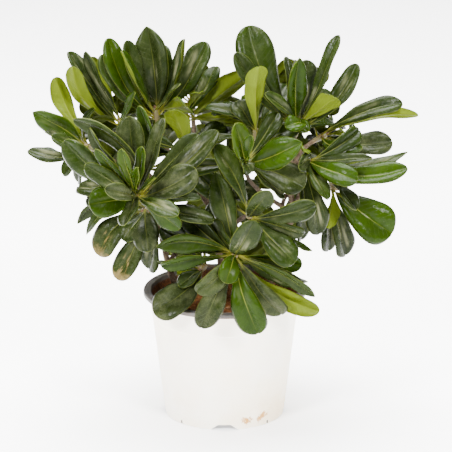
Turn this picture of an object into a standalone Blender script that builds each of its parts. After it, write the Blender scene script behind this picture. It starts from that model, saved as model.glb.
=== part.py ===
"""Potted Japanese pittosporum: a dwarf shrub of many leafy shoots in a 14 cm thermoformed nursery pot.

Every woody stem, every leafy shoot, the soil and the pot are objects of their own.
Sizes are in millimetres in this script and are written to the meshes in metres, +Z up.
The origin is the middle of the pot's foot on the ground, and the plant's front faces -Y.
"""
import math
import random
from collections import namedtuple

import bmesh
import bpy
from mathutils import Vector
from mathutils.bvhtree import BVHTree

# Driving dimensions, in millimetres
MM = 0.001
POT_HEIGHT = 110.7
LIP_RADIUS = 70.0
LIP_WIDTH = 6.8
LIP_DEPTH = 3.8
SHOULDER_RADIUS = 64.3
LEDGE_RADIUS = 62.2
LEDGE_HEIGHT = 88.5
LEDGE_STEP = 0.5
FOOT_RADIUS = 51.9
FOOT_RIM = 3.0
WALL = 1.6
BASE_LIFT = 5.4
POT_SIDES = 32
ARCH_WIDTH = 24.9
ARCH_TOP_WIDTH = 11.0
ARCH_HEIGHT = 4.8
SLIT_WIDTH = 1.6
SLIT_HEIGHT = 3.5
DRAIN_RADIUS = 4.0
DRAIN_CIRCLE = 24.0
SOIL_TOP = 101.0
SOIL_DOME = 2.5
GAP = 0.3
STEM_RADIUS = 3.4
BRANCH_RADIUS = 2.0
ROOT_END = 62.0
BRANCH_END_RADIUS = 1.7
SHOOT_RADIUS = 2.7
SHOOT_LENGTH = 12.0
BLADE_THICKNESS = 1.4
PETIOLE_HALF_WIDTH = 0.8
ROOT_OVERSHOOT = 1.4
BLADE_START = 0.14
ROOT_SHARE = 0.24
BLADE_STATIONS = (0.0, 0.035, 0.36, 0.68, 0.9, 0.98, 1.0)
HIDDEN_BLADE_STATIONS = (0.0, 0.035, 0.48, 0.86, 1.0)
MARGIN = 0.7

# The plant is laid out as its front is seen from 17.4 degrees above the ground and 2.5 m away
VIEW_TILT = math.radians(17.4)
VIEW_DISTANCE = 2500.0
VIEW_MIDDLE = (1.8, 159.5)
VIEW_PLANE = 33.0
SIN_TILT = math.sin(VIEW_TILT)
COS_TILT = math.cos(VIEW_TILT)
TO_VIEWER = Vector((0.0, -COS_TILT, SIN_TILT))
GOLDEN_ANGLE = math.radians(137.5)

COLOURS = {
    "pot": ((0.86, 0.84, 0.79), 0.45),
    "soil": ((0.07, 0.035, 0.02), 0.95),
    "stem": ((0.13, 0.075, 0.04), 0.8),
    "leaves": ((0.06, 0.16, 0.03), 0.35),
}


def seen(across, up, back):
    """Gives the point that is seen at (across, up) and lies `back` behind the pot's middle."""
    height = (up - back * SIN_TILT) / COS_TILT
    nearness = height * SIN_TILT - back * COS_TILT - VIEW_PLANE
    shrink = 1.0 - nearness / VIEW_DISTANCE
    across = VIEW_MIDDLE[0] + (across - VIEW_MIDDLE[0]) * shrink
    up = VIEW_MIDDLE[1] + (up - VIEW_MIDDLE[1]) * shrink
    return Vector((across, back, (up - back * SIN_TILT) / COS_TILT))


def as_seen(point):
    """Gives where a point is seen, across and up."""
    up = point.z * COS_TILT + point.y * SIN_TILT
    nearness = point.z * SIN_TILT - point.y * COS_TILT - VIEW_PLANE
    grow = 1.0 / (1.0 - nearness / VIEW_DISTANCE)
    across = VIEW_MIDDLE[0] + (point.x - VIEW_MIDDLE[0]) * grow
    return across, VIEW_MIDDLE[1] + (up - VIEW_MIDDLE[1]) * grow


# A shoot: the stem it grows on, the height where its branch leaves that stem, where the
# shoot's end is seen (across, up) and how far back it lies, the way it points (x, y, z),
# how many leaves a rule adds on its hidden side, and the leaves that are placed by hand.
Shoot = namedtuple("Shoot", "name stem fork centre axis hidden leaves")
POINTED = "pointed"

# A leaf placed by hand: where its tip is seen (across, up), how far the tip lies behind the
# shoot's end, its width, how squarely its upper side is seen (1 full on, 0 edge on and -1
# the underside), how far it arches, how far its middle is seen to the right of a straight
# leaf when its tip points up, its fold in degrees, and POINTED for a pointed end.
LEAVES_FRONT_LOW = (
    (72, 110, 14, 18, 0.6, 6, 0, 8, POINTED),
    (60, 107, 4, 18, 0.7, 6, 0, 5),
    (-12, 163, 12, 22, 0.7, 5, 0, 10),
    (-8, 206, 8, 24, 0.9, 5, 1, 10, POINTED),
    (-20, 71, -15, 23, 0.9, 12, 0, 4),
    (29, 66, -17, 28, 0.92, 14, 3, 8),
    (49, 82, 4, 27, 0.8, 10, 2, 5),
    (82, 85, -20, 20, -0.8, 9, 8, 8),
    (78, 97, 0, 17, 0.55, 6, -4, 12, POINTED),
    (67, 125, 6, 20, 0.7, 6, 0, 5),
    (-59, 141, -6, 22, 0.75, 4, 8, 20, POINTED),
    (-55, 124, 2, 20, 0.6, 4, 2, 15),
    (-24, 102, -22, 24, 0.85, 10, -3, 8),
    (27, 164, -34, 25, 0.9, 10, 0, 5),
    (1, 110, -26, 20, 0.9, 8, 0, 5),
)
LEAVES_FRONT_MIDDLE = (
    (-8, 230, 6, 22, 0.85, 5, 3, 10),
    (61, 128, -10, 27, 0.9, 6, 0, 5),
    (68, 151, 8, 18, 0.6, 6, 0, 10),
    (55, 118, 14, 20, 0.65, 6, 0, 8),
    (76, 138, 16, 13, 0.5, 4, 2, 10, POINTED),
    (79, 178, -25, 20, 0.8, 6, 4, 12),
    (39, 189, -42, 19, 0.8, 8, 0, 8),
)
LEAVES_FRONT_LOW_LEFT = (
    (-62, 86, -22, 32, 0.9, 8, -5, 0),
    (-40, 108, -6, 16, 0.7, 5, 0, 5),
    (-58, 128, 5, 10, 0.4, 5, 0, 15),
    (-39, 116, -16, 12, -0.8, 7, 0, 5),
)
LEAVES_LEFT_FRONT = (
    (-139, 233, 5, 26, 0.85, 6, -4, 8),
    (-120, 184, 15, 20, 0.8, 6, 0, 8),
    (-127, 195, 20, 22, 0.7, 6, 0, 8),
    (-6, 242, 8, 26, 0.8, 5, 4, 12),
    (-23, 239, 20, 22, 0.7, 4, 0, 10),
    (-9, 165, -8, 23, 0.6, 8, 2, 14),
    (-131, 251, -5, 20, 0.65, 14, 18, 12),
    (-75, 263, 10, 18, 0.6, 4, 11, 15),
    (-83, 254, -6, 25, 0.9, 5, 0, 8),
    (-25, 209, -15, 27, 0.9, 6, 4, 5),
    (-53, 253, -9, 20, 0.7, 10, 1, 12),
    (-117, 244, -13, 20, 0.6, 8, 0, 25),
    (-39, 156, -12, 20, 0.8, 8, -1, 5),
    (-117, 178, -28, 27, 0.95, 6, 0, 5),
    (-40, 169, -30, 20, 0.75, 6, 0, 10),
    (-87, 160, -42, 20, 0.7, 6, 0, 10),
    (-103, 192, -36, 24, 0.9, 8, 0, 10),
    (-20, 184, -8, 17, 0.65, 6, 0, 10),
    (-121, 212, -22, 18, 0.9, 10, 0, 10),
    (-112, 225, -24, 13, 0.8, 5, 0, 10),
    (-89, 226, -28, 13, 0.75, 5, 0, 12),
    (-71, 228, -26, 12, 0.8, 5, 0, 12),
    (-75, 210, -30, 9, 0.6, 3, 0, 15),
    (-61, 202, -24, 9, 0.4, 3, 0, 15),
)
LEAVES_CENTRE = (
    (69, 193, -12, 27, 0.95, 5, -3, 5),
    (37, 234, 10, 16, -0.6, 5, 0, 8),
    (67, 232, -20, 27, 0.95, 8, 2, 5, POINTED),
    (10, 248, -30, 20, 0.85, 8, 0, 8),
    (24, 205, -22, 15, 0.75, 6, 0, 8),
    (52, 184, -8, 15, 0.65, 6, 0, 10),
    (23, 238, -27, 12, 0.55, 6, 0, 15),
    (4, 223, -22, 10, 0.5, 4, 0, 15),
)
LEAVES_RIGHT_FRONT = (
    (158, 224, 5, 18, 0.6, 8, 11, 12, POINTED),
    (158, 210, -6, 24, 0.85, 8, 10, 8),
    (67, 147, 5, 22, 0.7, 6, 0, 10),
    (83, 152, -14, 24, 0.85, 8, 0, 5),
    (128, 219, -15, 14, 0.6, 6, 0, 10, POINTED),
    (115, 199, -30, 22, 0.85, 8, 0, 5),
    (125, 209, -26, 19, -0.7, 10, 0, 5),
    (90, 183, -36, 18, 0.75, 8, 0, 8),
    (64, 210, -38, 16, 0.7, 6, 0, 8),
    (71, 204, -32, 12, -0.6, 5, 0, 8),
    (70, 225, -30, 12, -0.6, 5, 0, 8),
)
LEAVES_RIGHT_LOW = (
    (145, 153, -12, 37, 0.95, 7, 2, 3),
    (105, 134, 4, 25, 0.75, 6, 0, 12),
    (90, 138, 12, 20, 0.65, 6, 0, 10),
    (90, 157, -20, 17, -0.7, 8, 0, 12, POINTED),
    (114, 173, -32, 20, 0.6, 12, 0, 20),
)
LEAVES_TOP_RIGHT = (
    (21, 333, 6, 33, 0.93, 8, -7, 5),
    (9, 309, -14, 19, 0.8, 6, -4, 10),
    (98, 325, -4, 19, 0.55, 8, 2, 18),
    (114, 300, -4, 19, 0.88, 6, 8, 10),
    (53, 306, 14, 15, 0.6, 4, 0, 12),
    (73, 303, 5, 22, 0.8, 4, 0, 10),
    (65, 305, -12, 22, 0.8, 4, -3, 12, POINTED),
    (35, 274, -26, 15, 0.6, 6, 2, 20),
    (95, 271, -30, 20, -0.88, 6, 0, 5),
    (72, 241, -38, 17, 0.8, 8, 0, 5),
    (52, 246, -30, 17, 0.85, 8, 0, 5),
)
LEAVES_LEFT_LOW = (
    (-127, 161, 10, 15, 0.65, 10, 14, 12, POINTED),
    (-120, 152, 0, 15, 0.7, 16, 13, 12, POINTED),
    (-10, 158, 15, 20, 0.75, 6, 0, 5),
    (-19, 194, 20, 12, 0.5, 5, 0, 10),
    (-66, 122, 10, 26, 0.8, 5, -3, 10),
    (-110, 134, -10, 28, 0.88, 6, 7, 5),
    (-94, 114, -15, 22, 0.92, 5, -4, 5),
    (-88, 147, -22, 20, 0.8, 6, 0, 5),
    (-66, 137, -36, 26, 0.9, 8, 0, 5),
)
LEAVES_RIGHT = (
    (168, 256, -16, 12, -0.7, 8, -8, 12),
    (154, 266, 4, 20, 0.8, 8, -6, 10),
    (145, 233, -15, 23, 0.85, 8, 5, 8),
    (119, 228, -40, 18, 0.85, 10, 6, 5),
    (105, 240, -30, 14, -0.6, 6, 0, 8),
)
LEAVES_LEFT = (
    (-147, 288, 14, 19, -0.8, 5, -3, 8),
    (-169, 226, -5, 19, 0.72, 8, -8, 12),
    (-140, 204, -25, 21, 0.6, 12, 0, 12),
    (-128, 197, -18, 21, 0.6, 12, 0, 12),
    (-166, 257, -20, 23, 0.88, 5, 2, 10, POINTED),
    (-155, 241, -30, 14, 0.5, 8, -2, 15),
    (-149, 238, -42, 20, 0.75, 8, -4, 10),
)
LEAVES_MIDDLE_LEFT = (
    (-46, 260, -10, 22, -0.85, 5, 4, 5),
)
LEAVES_MIDDLE_RIGHT = (
    (29, 298, -18, 22, -0.85, 6, -2, 5),
    (54, 282, 42, 24, 0.85, 5, 0, 8),
    (10, 268, 2, 20, 0.85, 5, 0, 8),
)
LEAVES_TOP_MIDDLE = (
    (20, 292, -5, 25, -0.8, 5, 0, 12),
    (-8, 298, 15, 22, 0.7, 5, 2, 10),
    (23, 257, -25, 22, -0.75, 5, 3, 15),
    (-22, 275, -20, 12, -0.6, 5, 0, 10),
)
LEAVES_TOP_LEFT = (
    (-55, 316, 12, 22, 0.85, 5, 3, 8),
    (-105, 308, 5, 24, 0.7, 5, -9, 12),
    (-100, 322, 0, 22, 0.85, 5, -9, 10),
    (-17, 319, 5, 27, 0.88, 5, 6, 8),
    (-68, 332, 0, 33, 0.9, 5, 3, 8, POINTED),
    (-84, 320, -5, 20, 0.75, 5, -3, 10),
    (-88, 311, -15, 16, 0.4, 5, -3, 25),
    (-36, 321, -10, 19, 0.5, 4, 8, 25),
    (-32, 263, -40, 22, -0.8, 8, -2, 5),
    (-39, 283, -20, 10, 0.35, 4, 0, 15),
)
LEAVES_LEFT_TOP = (
    (-135, 310, 8, 22, 0.75, 5, -2, 12),
    (-121, 310, 0, 18, 0.6, 5, 0, 12),
    (-131, 298, -24, 17, -0.85, 5, -11, 10),
    (-117, 305, -10, 20, -0.8, 5, 0, 12),
    (-78, 275, -25, 14, 0.5, 6, 0, 12),
    (-124, 268, 10, 22, -0.8, 5, 0, 10),
)

LEAVES_BACK_LEFT = (
    (-116, 256, -12, 25, -0.85, 6, 0, 8),
    (-45, 243, -15, 24, -0.85, 6, 0, 8),
)
LEAVES_BACK_MIDDLE = (
    (-24, 248, -24, 24, -0.85, 6, 0, 8),
    (42, 256, -24, 24, -0.85, 6, 0, 8),
    (12, 250, -20, 20, -0.85, 6, 0, 8),
    (28, 187, -60, 26, 0.85, 6, 0, 8),
)
LEAVES_BACK_TOP_LEFT = (
    (-100, 268, -10, 25, -0.85, 6, 0, 8),
    (-94, 292, -5, 25, -0.85, 6, 0, 8),
    (-22, 300, 10, 26, -0.85, 6, 0, 8),
    (-62, 246, -10, 22, -0.8, 6, 0, 8),
)
LEAVES_BACK_TOP_RIGHT = (
    (88, 294, -5, 24, -0.85, 6, 0, 8),
    (60, 303, 5, 24, -0.85, 6, 0, 8),
    (100, 264, -12, 24, -0.85, 6, 0, 8),
)

# The shoots from the front to the back, in the order in which their leaves are placed
SHOOTS = (
    Shoot("front_low", "middle", 118, (9, 134, -66), (0.0, -0.96, 0.2), 3, LEAVES_FRONT_LOW),
    Shoot("front_middle", "middle", 150, (22, 168, -68), (0.1, -0.95, 0.25), 3, LEAVES_FRONT_MIDDLE),
    Shoot("front_low_left", "middle", 112, (-21, 122, -38), (-0.3, -0.85, 0.1), 4, LEAVES_FRONT_LOW_LEFT),
    Shoot("left_front", "left", 168, (-78, 186, -66), (-0.4, -0.75, 0.45), 0, LEAVES_LEFT_FRONT),
    Shoot("centre", "right", 178, (19, 216, -56), (0.05, -0.75, 0.6), 3, LEAVES_CENTRE),
    Shoot("right_front", "right", 184, (73, 216, -40), (0.5, -0.75, 0.35), 2, LEAVES_RIGHT_FRONT),
    Shoot("right_low", "right", 174, (98, 192, -14), (0.75, -0.5, -0.1), 5, LEAVES_RIGHT_LOW),
    Shoot("top_right", "right", 200, (64, 249, -16), (0.2, -0.25, 0.95), 4, LEAVES_TOP_RIGHT),
    Shoot("left_low", "left", 160, (-70, 173, -24), (-0.6, -0.4, -0.1), 5, LEAVES_LEFT_LOW),
    Shoot("right", "right", 194, (88, 239, 15), (0.85, 0.0, 0.5), 6, LEAVES_RIGHT),
    Shoot("left", "left", 176, (-124, 231, 4), (-0.9, 0.0, 0.45), 6, LEAVES_LEFT),
    Shoot("middle_left", "middle", 182, (-36, 224, -14), (-0.2, -0.4, 0.9), 7, LEAVES_MIDDLE_LEFT),
    Shoot("middle_right", "right", 205, (27, 243, -28), (-0.1, -0.2, 1.0), 5, LEAVES_MIDDLE_RIGHT),
    Shoot("top_middle", "middle", 205, (-35, 259, 22), (0.0, 0.3, 0.95), 6, LEAVES_TOP_MIDDLE),
    Shoot("top_left", "middle", 198, (-60, 261, 16), (-0.2, 0.1, 1.0), 5, LEAVES_TOP_LEFT),
    Shoot("left_top", "left", 182, (-91, 251, 26), (-0.55, 0.3, 0.8), 6, LEAVES_LEFT_TOP),
    Shoot("back_left", "left", 150, (-72, 212, 68), (-0.5, 0.8, 0.35), 11, LEAVES_BACK_LEFT),
    Shoot("back_middle", "middle", 140, (5, 195, 84), (0.05, 1.0, 0.3), 11, LEAVES_BACK_MIDDLE),
    Shoot("back_right", "right", 155, (64, 200, 70), (0.5, 0.8, 0.35), 12, ()),
    Shoot("back_top_left", "left", 186, (-30, 268, 60), (-0.2, 0.6, 0.8), 10, LEAVES_BACK_TOP_LEFT),
    Shoot("back_top_right", "right", 208, (42, 272, 54), (0.3, 0.6, 0.8), 10, LEAVES_BACK_TOP_RIGHT),
    Shoot("back_low_left", "left", 132, (-50, 152, 66), (-0.45, 0.9, 0.0), 10, ()),
    Shoot("back_low_right", "right", 138, (52, 155, 68), (0.45, 0.9, 0.0), 10, ()),
    Shoot("side_left", "left", 142, (-102, 192, 42), (-0.9, 0.3, 0.1), 10, ()),
    Shoot("side_right", "right", 146, (100, 196, 42), (0.85, 0.45, 0.1), 10, ()),
)

# Each stem: a straight foot in the soil at (x, y), then the points that it leans through
STEMS = {
    "left": ((-38, 10, 104), (-47, 8, 124), (-56, 0, 168), (-60, 4, 190)),
    "middle": ((0, 8, 104), (-3, 6, 130), (-11, 8, 175), (-22, 10, 210)),
    "right": ((36, 14, 104), (46, 11, 130), (57, 6, 180), (56, 6, 212)),
}

# Where light comes through the foliage, as seen: across, up, half the width and half the height
GLIMPSES = (
    (16, 278, 4, 5),
    (2, 228, 4, 2),
    (-37, 235, 8, 3),
    (22, 201, 4, 2),
    (43, 188, 4, 4),
    (46, 177, 4, 5),
    (76, 202, 3, 2),
    (86, 179, 5, 7),
    (-36, 189, 5, 3),
)

# What the hidden leaves stay inside, as seen from the front
HIDDEN_OUTLINE = (
    (-126, 190), (-134, 240), (-112, 292), (-60, 306), (-10, 300), (2, 282), (28, 284),
    (48, 296), (76, 294), (104, 268), (122, 244), (122, 212), (92, 190), (66, 150),
    (52, 118), (-20, 108), (-52, 132), (-66, 140), (-92, 168),
)


def quadratic(start, control, end, t):
    """A point on the curve from start to end that is pulled towards control."""
    return start * (1 - t) ** 2 + control * (2 * t * (1 - t)) + end * t ** 2


def quadratic_slope(start, control, end, t):
    """The direction of that curve."""
    return ((control - start) * (1 - t) + (end - control) * t).normalized()


def blade_half_width(t, width, pointed):
    """Half the leaf's width: a slim petiole, a long wedge and a broad, rounded or pointed end."""
    along = max(0.0, (t - BLADE_START) / (1.0 - BLADE_START))
    if pointed:
        outline = along ** 0.8 * (1.0 - along ** 2.6) ** 0.85 / 0.512
    else:
        outline = along ** 0.8 * (1.0 - along ** 4.4) ** 0.55 / 0.663
    return max(PETIOLE_HALF_WIDTH, outline * width / 2)


class Leaf:
    """A leaf from its root in the shoot to its tip, along a curved spine."""

    def __init__(self, root, tip, upper, width, bulge, fold, pointed, stations):
        root = root - (tip - root).normalized() * ROOT_OVERSHOOT
        self.root = root
        self.tip = tip
        self.right = (tip - root).cross(upper).normalized()
        self.width = width
        self.control = (root + tip) / 2 + bulge * 2
        self.fold = math.radians(fold)
        self.pointed = pointed
        self.stations = stations

    def length(self):
        return (self.tip - self.root).length

    def section(self, t, swell=0.0):
        """The leaf at t: its left and right edge, and the keel under its midrib."""
        point = quadratic(self.root, self.control, self.tip, t)
        slope = quadratic_slope(self.root, self.control, self.tip, t)
        right = (self.right - slope * self.right.dot(slope)).normalized()
        upper = right.cross(slope)
        half = blade_half_width(t, self.width, self.pointed)
        reach = right * (half * math.cos(self.fold) + swell)
        rise = upper * (half * math.sin(self.fold) + BLADE_THICKNESS * 0.3 + swell)
        keel = upper * (BLADE_THICKNESS * 0.7 + swell)
        return point - reach + rise, point + reach + rise, point - keel

    def mesh(self, swell=0.0, start=0.0):
        """The leaf as a solid: a three-sided sphere of a few rings, drawn out along the spine."""
        last = len(self.stations) - 1
        shape = bmesh.new()
        bmesh.ops.create_uvsphere(shape, u_segments=3, v_segments=last, radius=1.0)
        places = {}
        for vert in shape.verts:
            ring = round(math.acos(max(-1.0, min(1.0, -vert.co.z))) / math.pi * last)
            turn = math.atan2(vert.co.y, vert.co.x)
            places[vert] = (ring, round(turn / (math.pi * 2 / 3)) % 3)
        for vert, (ring, corner) in places.items():
            t = start + (1.0 - start) * self.stations[ring]
            if 0 < ring < last:
                vert.co = self.section(t, swell)[corner]
            else:
                vert.co = quadratic(self.root, self.control, self.tip, t)
        for face in list(shape.faces):
            if len(face.verts) == 4:
                corners = sorted(face.verts, key=lambda v: (places[v][0], places[v][1]))
                bmesh.utils.face_split(face, corners[0], corners[3])
        return shape


def shoot_end(shoot):
    return seen(*shoot.centre)


def shoot_axis(shoot):
    return Vector(shoot.axis).normalized()


def hand_placed_leaf(shoot, number, push, slimness):
    """A leaf from the lists above; push moves its tip and middle along the line of sight."""
    across, up, behind, width, shows, arch, sweep, fold = shoot.leaves[number][:8]
    pointed = POINTED in shoot.leaves[number]
    axis = shoot_axis(shoot)
    root = shoot_end(shoot) - axis * root_depth(number, len(shoot.leaves))
    tip = seen(across, up, shoot.centre[2] + behind - push[0])
    chord = (tip - root).normalized()
    square = (TO_VIEWER - chord * TO_VIEWER.dot(chord)).normalized()
    aside = chord.cross(square)
    lean = math.copysign(math.sqrt(1.0 - shows * shows), aside.dot(axis))
    upper = square * shows + aside * lean
    bulge = square * math.copysign(arch, shows) + aside * sweep + TO_VIEWER * push[1] / 2
    return Leaf(root, tip, upper, width * slimness, bulge, fold, pointed, BLADE_STATIONS)


def root_depth(number, count):
    """How far below the shoot's end a leaf grows: the outer leaves are the lowest."""
    return 1.5 + (SHOOT_LENGTH - 4.0) * (1.0 - number / max(1, count - 1))


def hidden_leaf(shoot, number, push, shrink, more_turn):
    """A leaf of the hidden side, turned by the golden angle from the one before it."""
    draw = random.Random(shoot.name + str(number))
    axis = shoot_axis(shoot)
    aside = axis.orthogonal().normalized()
    other = axis.cross(aside)
    turn = number * GOLDEN_ANGLE + draw.uniform(-0.25, 0.25) + more_turn
    youth = number / shoot.hidden
    spread = math.radians(98.0 - 48.0 * youth + draw.uniform(-8.0, 8.0))
    length = (66.0 - 18.0 * youth) * draw.uniform(0.9, 1.1) * shrink
    way = axis * math.cos(spread) + (aside * math.cos(turn) + other * math.sin(turn)) * math.sin(spread)
    root = shoot_end(shoot) - axis * root_depth(number, shoot.hidden)
    tip = root + way.normalized() * length
    tip.z -= draw.uniform(2.0, 10.0)
    tip += TO_VIEWER * push[0]
    chord = (tip - root).normalized()
    upper = (axis - chord * axis.dot(chord)).normalized()
    width = (22.0 - 5.0 * youth) * draw.uniform(0.85, 1.12)
    bulge = upper * draw.uniform(4.0, 9.0) + chord.cross(upper) * draw.uniform(-3.0, 3.0)
    bulge += TO_VIEWER * push[1] / 2
    fold = draw.uniform(4.0, 16.0)
    return Leaf(root, tip, upper, width, bulge, fold, False, HIDDEN_BLADE_STATIONS)


def inside_outline(point):
    """Whether a point is seen within the outline that hides the back of the plant."""
    across, up = as_seen(point)
    inside = False
    for (x1, y1), (x2, y2) in zip(HIDDEN_OUTLINE, HIDDEN_OUTLINE[1:] + HIDDEN_OUTLINE[:1]):
        if (y1 > up) != (y2 > up) and across < x1 + (up - y1) / (y2 - y1) * (x2 - x1):
            inside = not inside
    return inside


class Obstacles:
    """The surfaces that a new leaf is kept clear of."""

    def __init__(self):
        self.solids = []
        self.glimpses = []

    def add(self, shape, owner=None, outer=None):
        """Adds a shape, and for a leaf the outer part that its own shoot's leaves stay off."""
        whole = surface_tree(shape)
        self.solids.append((owner, whole, surface_tree(outer) if outer else whole))

    def add_glimpse(self, shape):
        self.glimpses.append(surface_tree(shape))

    def blocks(self, leaf, owner):
        """Whether a leaf would touch anything, with a margin."""
        whole = surface_tree(leaf.mesh(MARGIN))
        outer = surface_tree(leaf.mesh(MARGIN, ROOT_SHARE))
        for other_owner, other_whole, other_outer in self.solids:
            if other_owner == owner:
                if touching(outer, other_outer):
                    return True
            elif touching(whole, other_whole):
                return True
        return False

    def darkens(self, leaf):
        """Whether a leaf would stand in one of the glimpses of light."""
        whole = surface_tree(leaf.mesh())
        return any(touching(whole, glimpse) for glimpse in self.glimpses)


def rod(shape, start, end, first_radius, last_radius, sides=6):
    """Adds a straight, round-section rod to a bmesh."""
    way = end - start
    made = bmesh.ops.create_cone(
        shape, cap_ends=True, segments=sides, radius1=first_radius, radius2=last_radius, depth=way.length
    )
    turn = Vector((0, 0, 1)).rotation_difference(way).to_matrix()
    bmesh.ops.rotate(shape, matrix=turn, verts=made["verts"])
    bmesh.ops.translate(shape, vec=(start + end) / 2, verts=made["verts"])


def rods(path, first_radius, last_radius):
    """Straight rods from point to point along a path, as the space that a branch takes."""
    shape = bmesh.new()
    for number, (start, end) in enumerate(zip(path, path[1:])):
        share = number / (len(path) - 1)
        radius = first_radius + (last_radius - first_radius) * share
        rod(shape, start, end, radius, radius)
    return shape


def pot_space():
    """The pot and its soil as two plain solids: the tapered body and the lip."""
    shape = bmesh.new()
    under_lip = Vector((0.0, 0.0, POT_HEIGHT - LIP_DEPTH))
    rod(shape, Vector(), under_lip, FOOT_RADIUS, SHOULDER_RADIUS, POT_SIDES)
    rod(shape, under_lip, Vector((0.0, 0.0, POT_HEIGHT)), LIP_RADIUS, LIP_RADIUS, POT_SIDES)
    return shape


def surface_tree(shape):
    """The lowest corner, highest corner and search tree of a bmesh, which is then freed."""
    low = Vector(min(v.co[i] for v in shape.verts) for i in range(3))
    high = Vector(max(v.co[i] for v in shape.verts) for i in range(3))
    tree = BVHTree.FromBMesh(shape)
    shape.free()
    return low, high, tree


def touching(one, other):
    if any(one[1][i] < other[0][i] or other[1][i] < one[0][i] for i in range(3)):
        return False
    return bool(one[2].overlap(other[2]))


def pushes():
    """The ways to bend a leaf clear, from the smallest: its tip's and its middle's shift."""
    ways = [(tip, middle) for tip in range(-24, 21, 4) for middle in range(-15, 16, 5)]
    return sorted(ways, key=lambda way: (abs(way[0]) + abs(way[1]), way))


def place_leaves(obstacles):
    """Every shoot's leaves, bent clear of each other: those placed by hand come first."""
    placed = {shoot.name: [] for shoot in SHOOTS}
    ways = pushes()
    for shoot in SHOOTS:
        for number in range(len(shoot.leaves)):
            tries = (
                hand_placed_leaf(shoot, number, way, slimness)
                for slimness in (1.0, 0.8, 0.6)
                for way in ways
            )
            leaf = first_clear(tries, obstacles, shoot.name)
            keep_leaf(leaf, shoot, placed, obstacles, "by hand", number)
    for shoot in SHOOTS:
        for number in range(shoot.hidden):
            tries = (
                hidden_leaf(shoot, number, way, shrink, more_turn)
                for shrink in (1.0, 0.85, 0.7)
                for more_turn in (0.0, 0.5, -0.5, 1.0, -1.0, 1.6, -1.6, 2.3, -2.3, 3.1)
                for way in ways[:9]
            )
            hidden = (leaf for leaf in tries if is_hidden(leaf, obstacles))
            leaf = first_clear(hidden, obstacles, shoot.name)
            keep_leaf(leaf, shoot, placed, obstacles, "hidden", number)
    return placed


def is_hidden(leaf, obstacles):
    """Whether a leaf stays behind the leaves placed by hand, and lets the glimpses through."""
    if leaf.tip.y < 6.0 and (leaf.tip - leaf.root).dot(TO_VIEWER) > 0.0:
        return False
    if not inside_outline(leaf.tip) or not inside_outline(leaf.section(0.6)[0]):
        return False
    return not obstacles.darkens(leaf)


def first_clear(leaves, obstacles, owner):
    for leaf in leaves:
        if not obstacles.blocks(leaf, owner):
            return leaf
    return None


def keep_leaf(leaf, shoot, placed, obstacles, kind, number):
    if leaf is None:
        print("no room for leaf", number, kind, "on", shoot.name)
        return
    placed[shoot.name].append(leaf)
    obstacles.add(leaf.mesh(), shoot.name, leaf.mesh(0.0, ROOT_SHARE))


def material(name, key):
    """A plain material of its own for each object."""
    colour, roughness = COLOURS[key]
    new = bpy.data.materials.new(name)
    new.use_nodes = True
    shader = new.node_tree.nodes["Principled BSDF"]
    shader.inputs["Base Color"].default_value = (*colour, 1.0)
    shader.inputs["Roughness"].default_value = roughness
    shader.inputs["Metallic"].default_value = 0.0
    return new


def new_object(name, mesh, collection):
    thing = bpy.data.objects.new(name, mesh)
    collection.objects.link(thing)
    return thing


def object_from_bmesh(name, shape, collection):
    """An object in metres from a bmesh in millimetres."""
    bmesh.ops.scale(shape, vec=Vector((MM, MM, MM)), verts=shape.verts)
    mesh = bpy.data.meshes.new(name)
    shape.to_mesh(mesh)
    shape.free()
    return new_object(name, mesh, collection)


def apply_modifiers(thing):
    """Replaces an object's mesh by what its modifiers make of it."""
    graph = bpy.context.evaluated_depsgraph_get()
    mesh = bpy.data.meshes.new_from_object(thing.evaluated_get(graph))
    thing.modifiers.clear()
    thing.data = mesh


def join_by_union(main, others):
    """One Boolean union of an object with a collection of others, which are then removed."""
    union = main.modifiers.new("union", "BOOLEAN")
    union.operation = "UNION"
    union.operand_type = "COLLECTION"
    union.collection = others
    union.solver = "MANIFOLD"
    apply_modifiers(main)
    for thing in list(others.objects):
        bpy.data.objects.remove(thing)
    bpy.data.collections.remove(others)
    shape = bmesh.new()
    shape.from_mesh(main.data)
    keep_largest_body(shape)
    shape.to_mesh(main.data)
    shape.free()
    main.data.materials.clear()


def keep_largest_body(shape):
    """Drops loose scraps, and the inner skins of hollows that a union has sealed."""
    waiting = set(shape.faces)
    bodies = []
    while waiting:
        body = [waiting.pop()]
        for face in body:
            around = {other for edge in face.edges for other in edge.link_faces} & waiting
            waiting -= around
            body.extend(around)
        bodies.append(body)
    bodies.sort(key=len)
    for body in bodies[:-1]:
        print("dropped a scrap of", len(body), "faces")
        bmesh.ops.delete(shape, geom=body, context="FACES")


def wall_radius(z):
    """The pot's outer radius at a height: two straight tapers that meet at the stacking ledge."""
    if z <= LEDGE_HEIGHT:
        return FOOT_RADIUS + (LEDGE_RADIUS - FOOT_RADIUS) * z / LEDGE_HEIGHT
    above = (z - LEDGE_HEIGHT) / (POT_HEIGHT - LIP_DEPTH - LEDGE_HEIGHT)
    return LEDGE_RADIUS + LEDGE_STEP + (SHOULDER_RADIUS - LEDGE_RADIUS - LEDGE_STEP) * above


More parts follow.
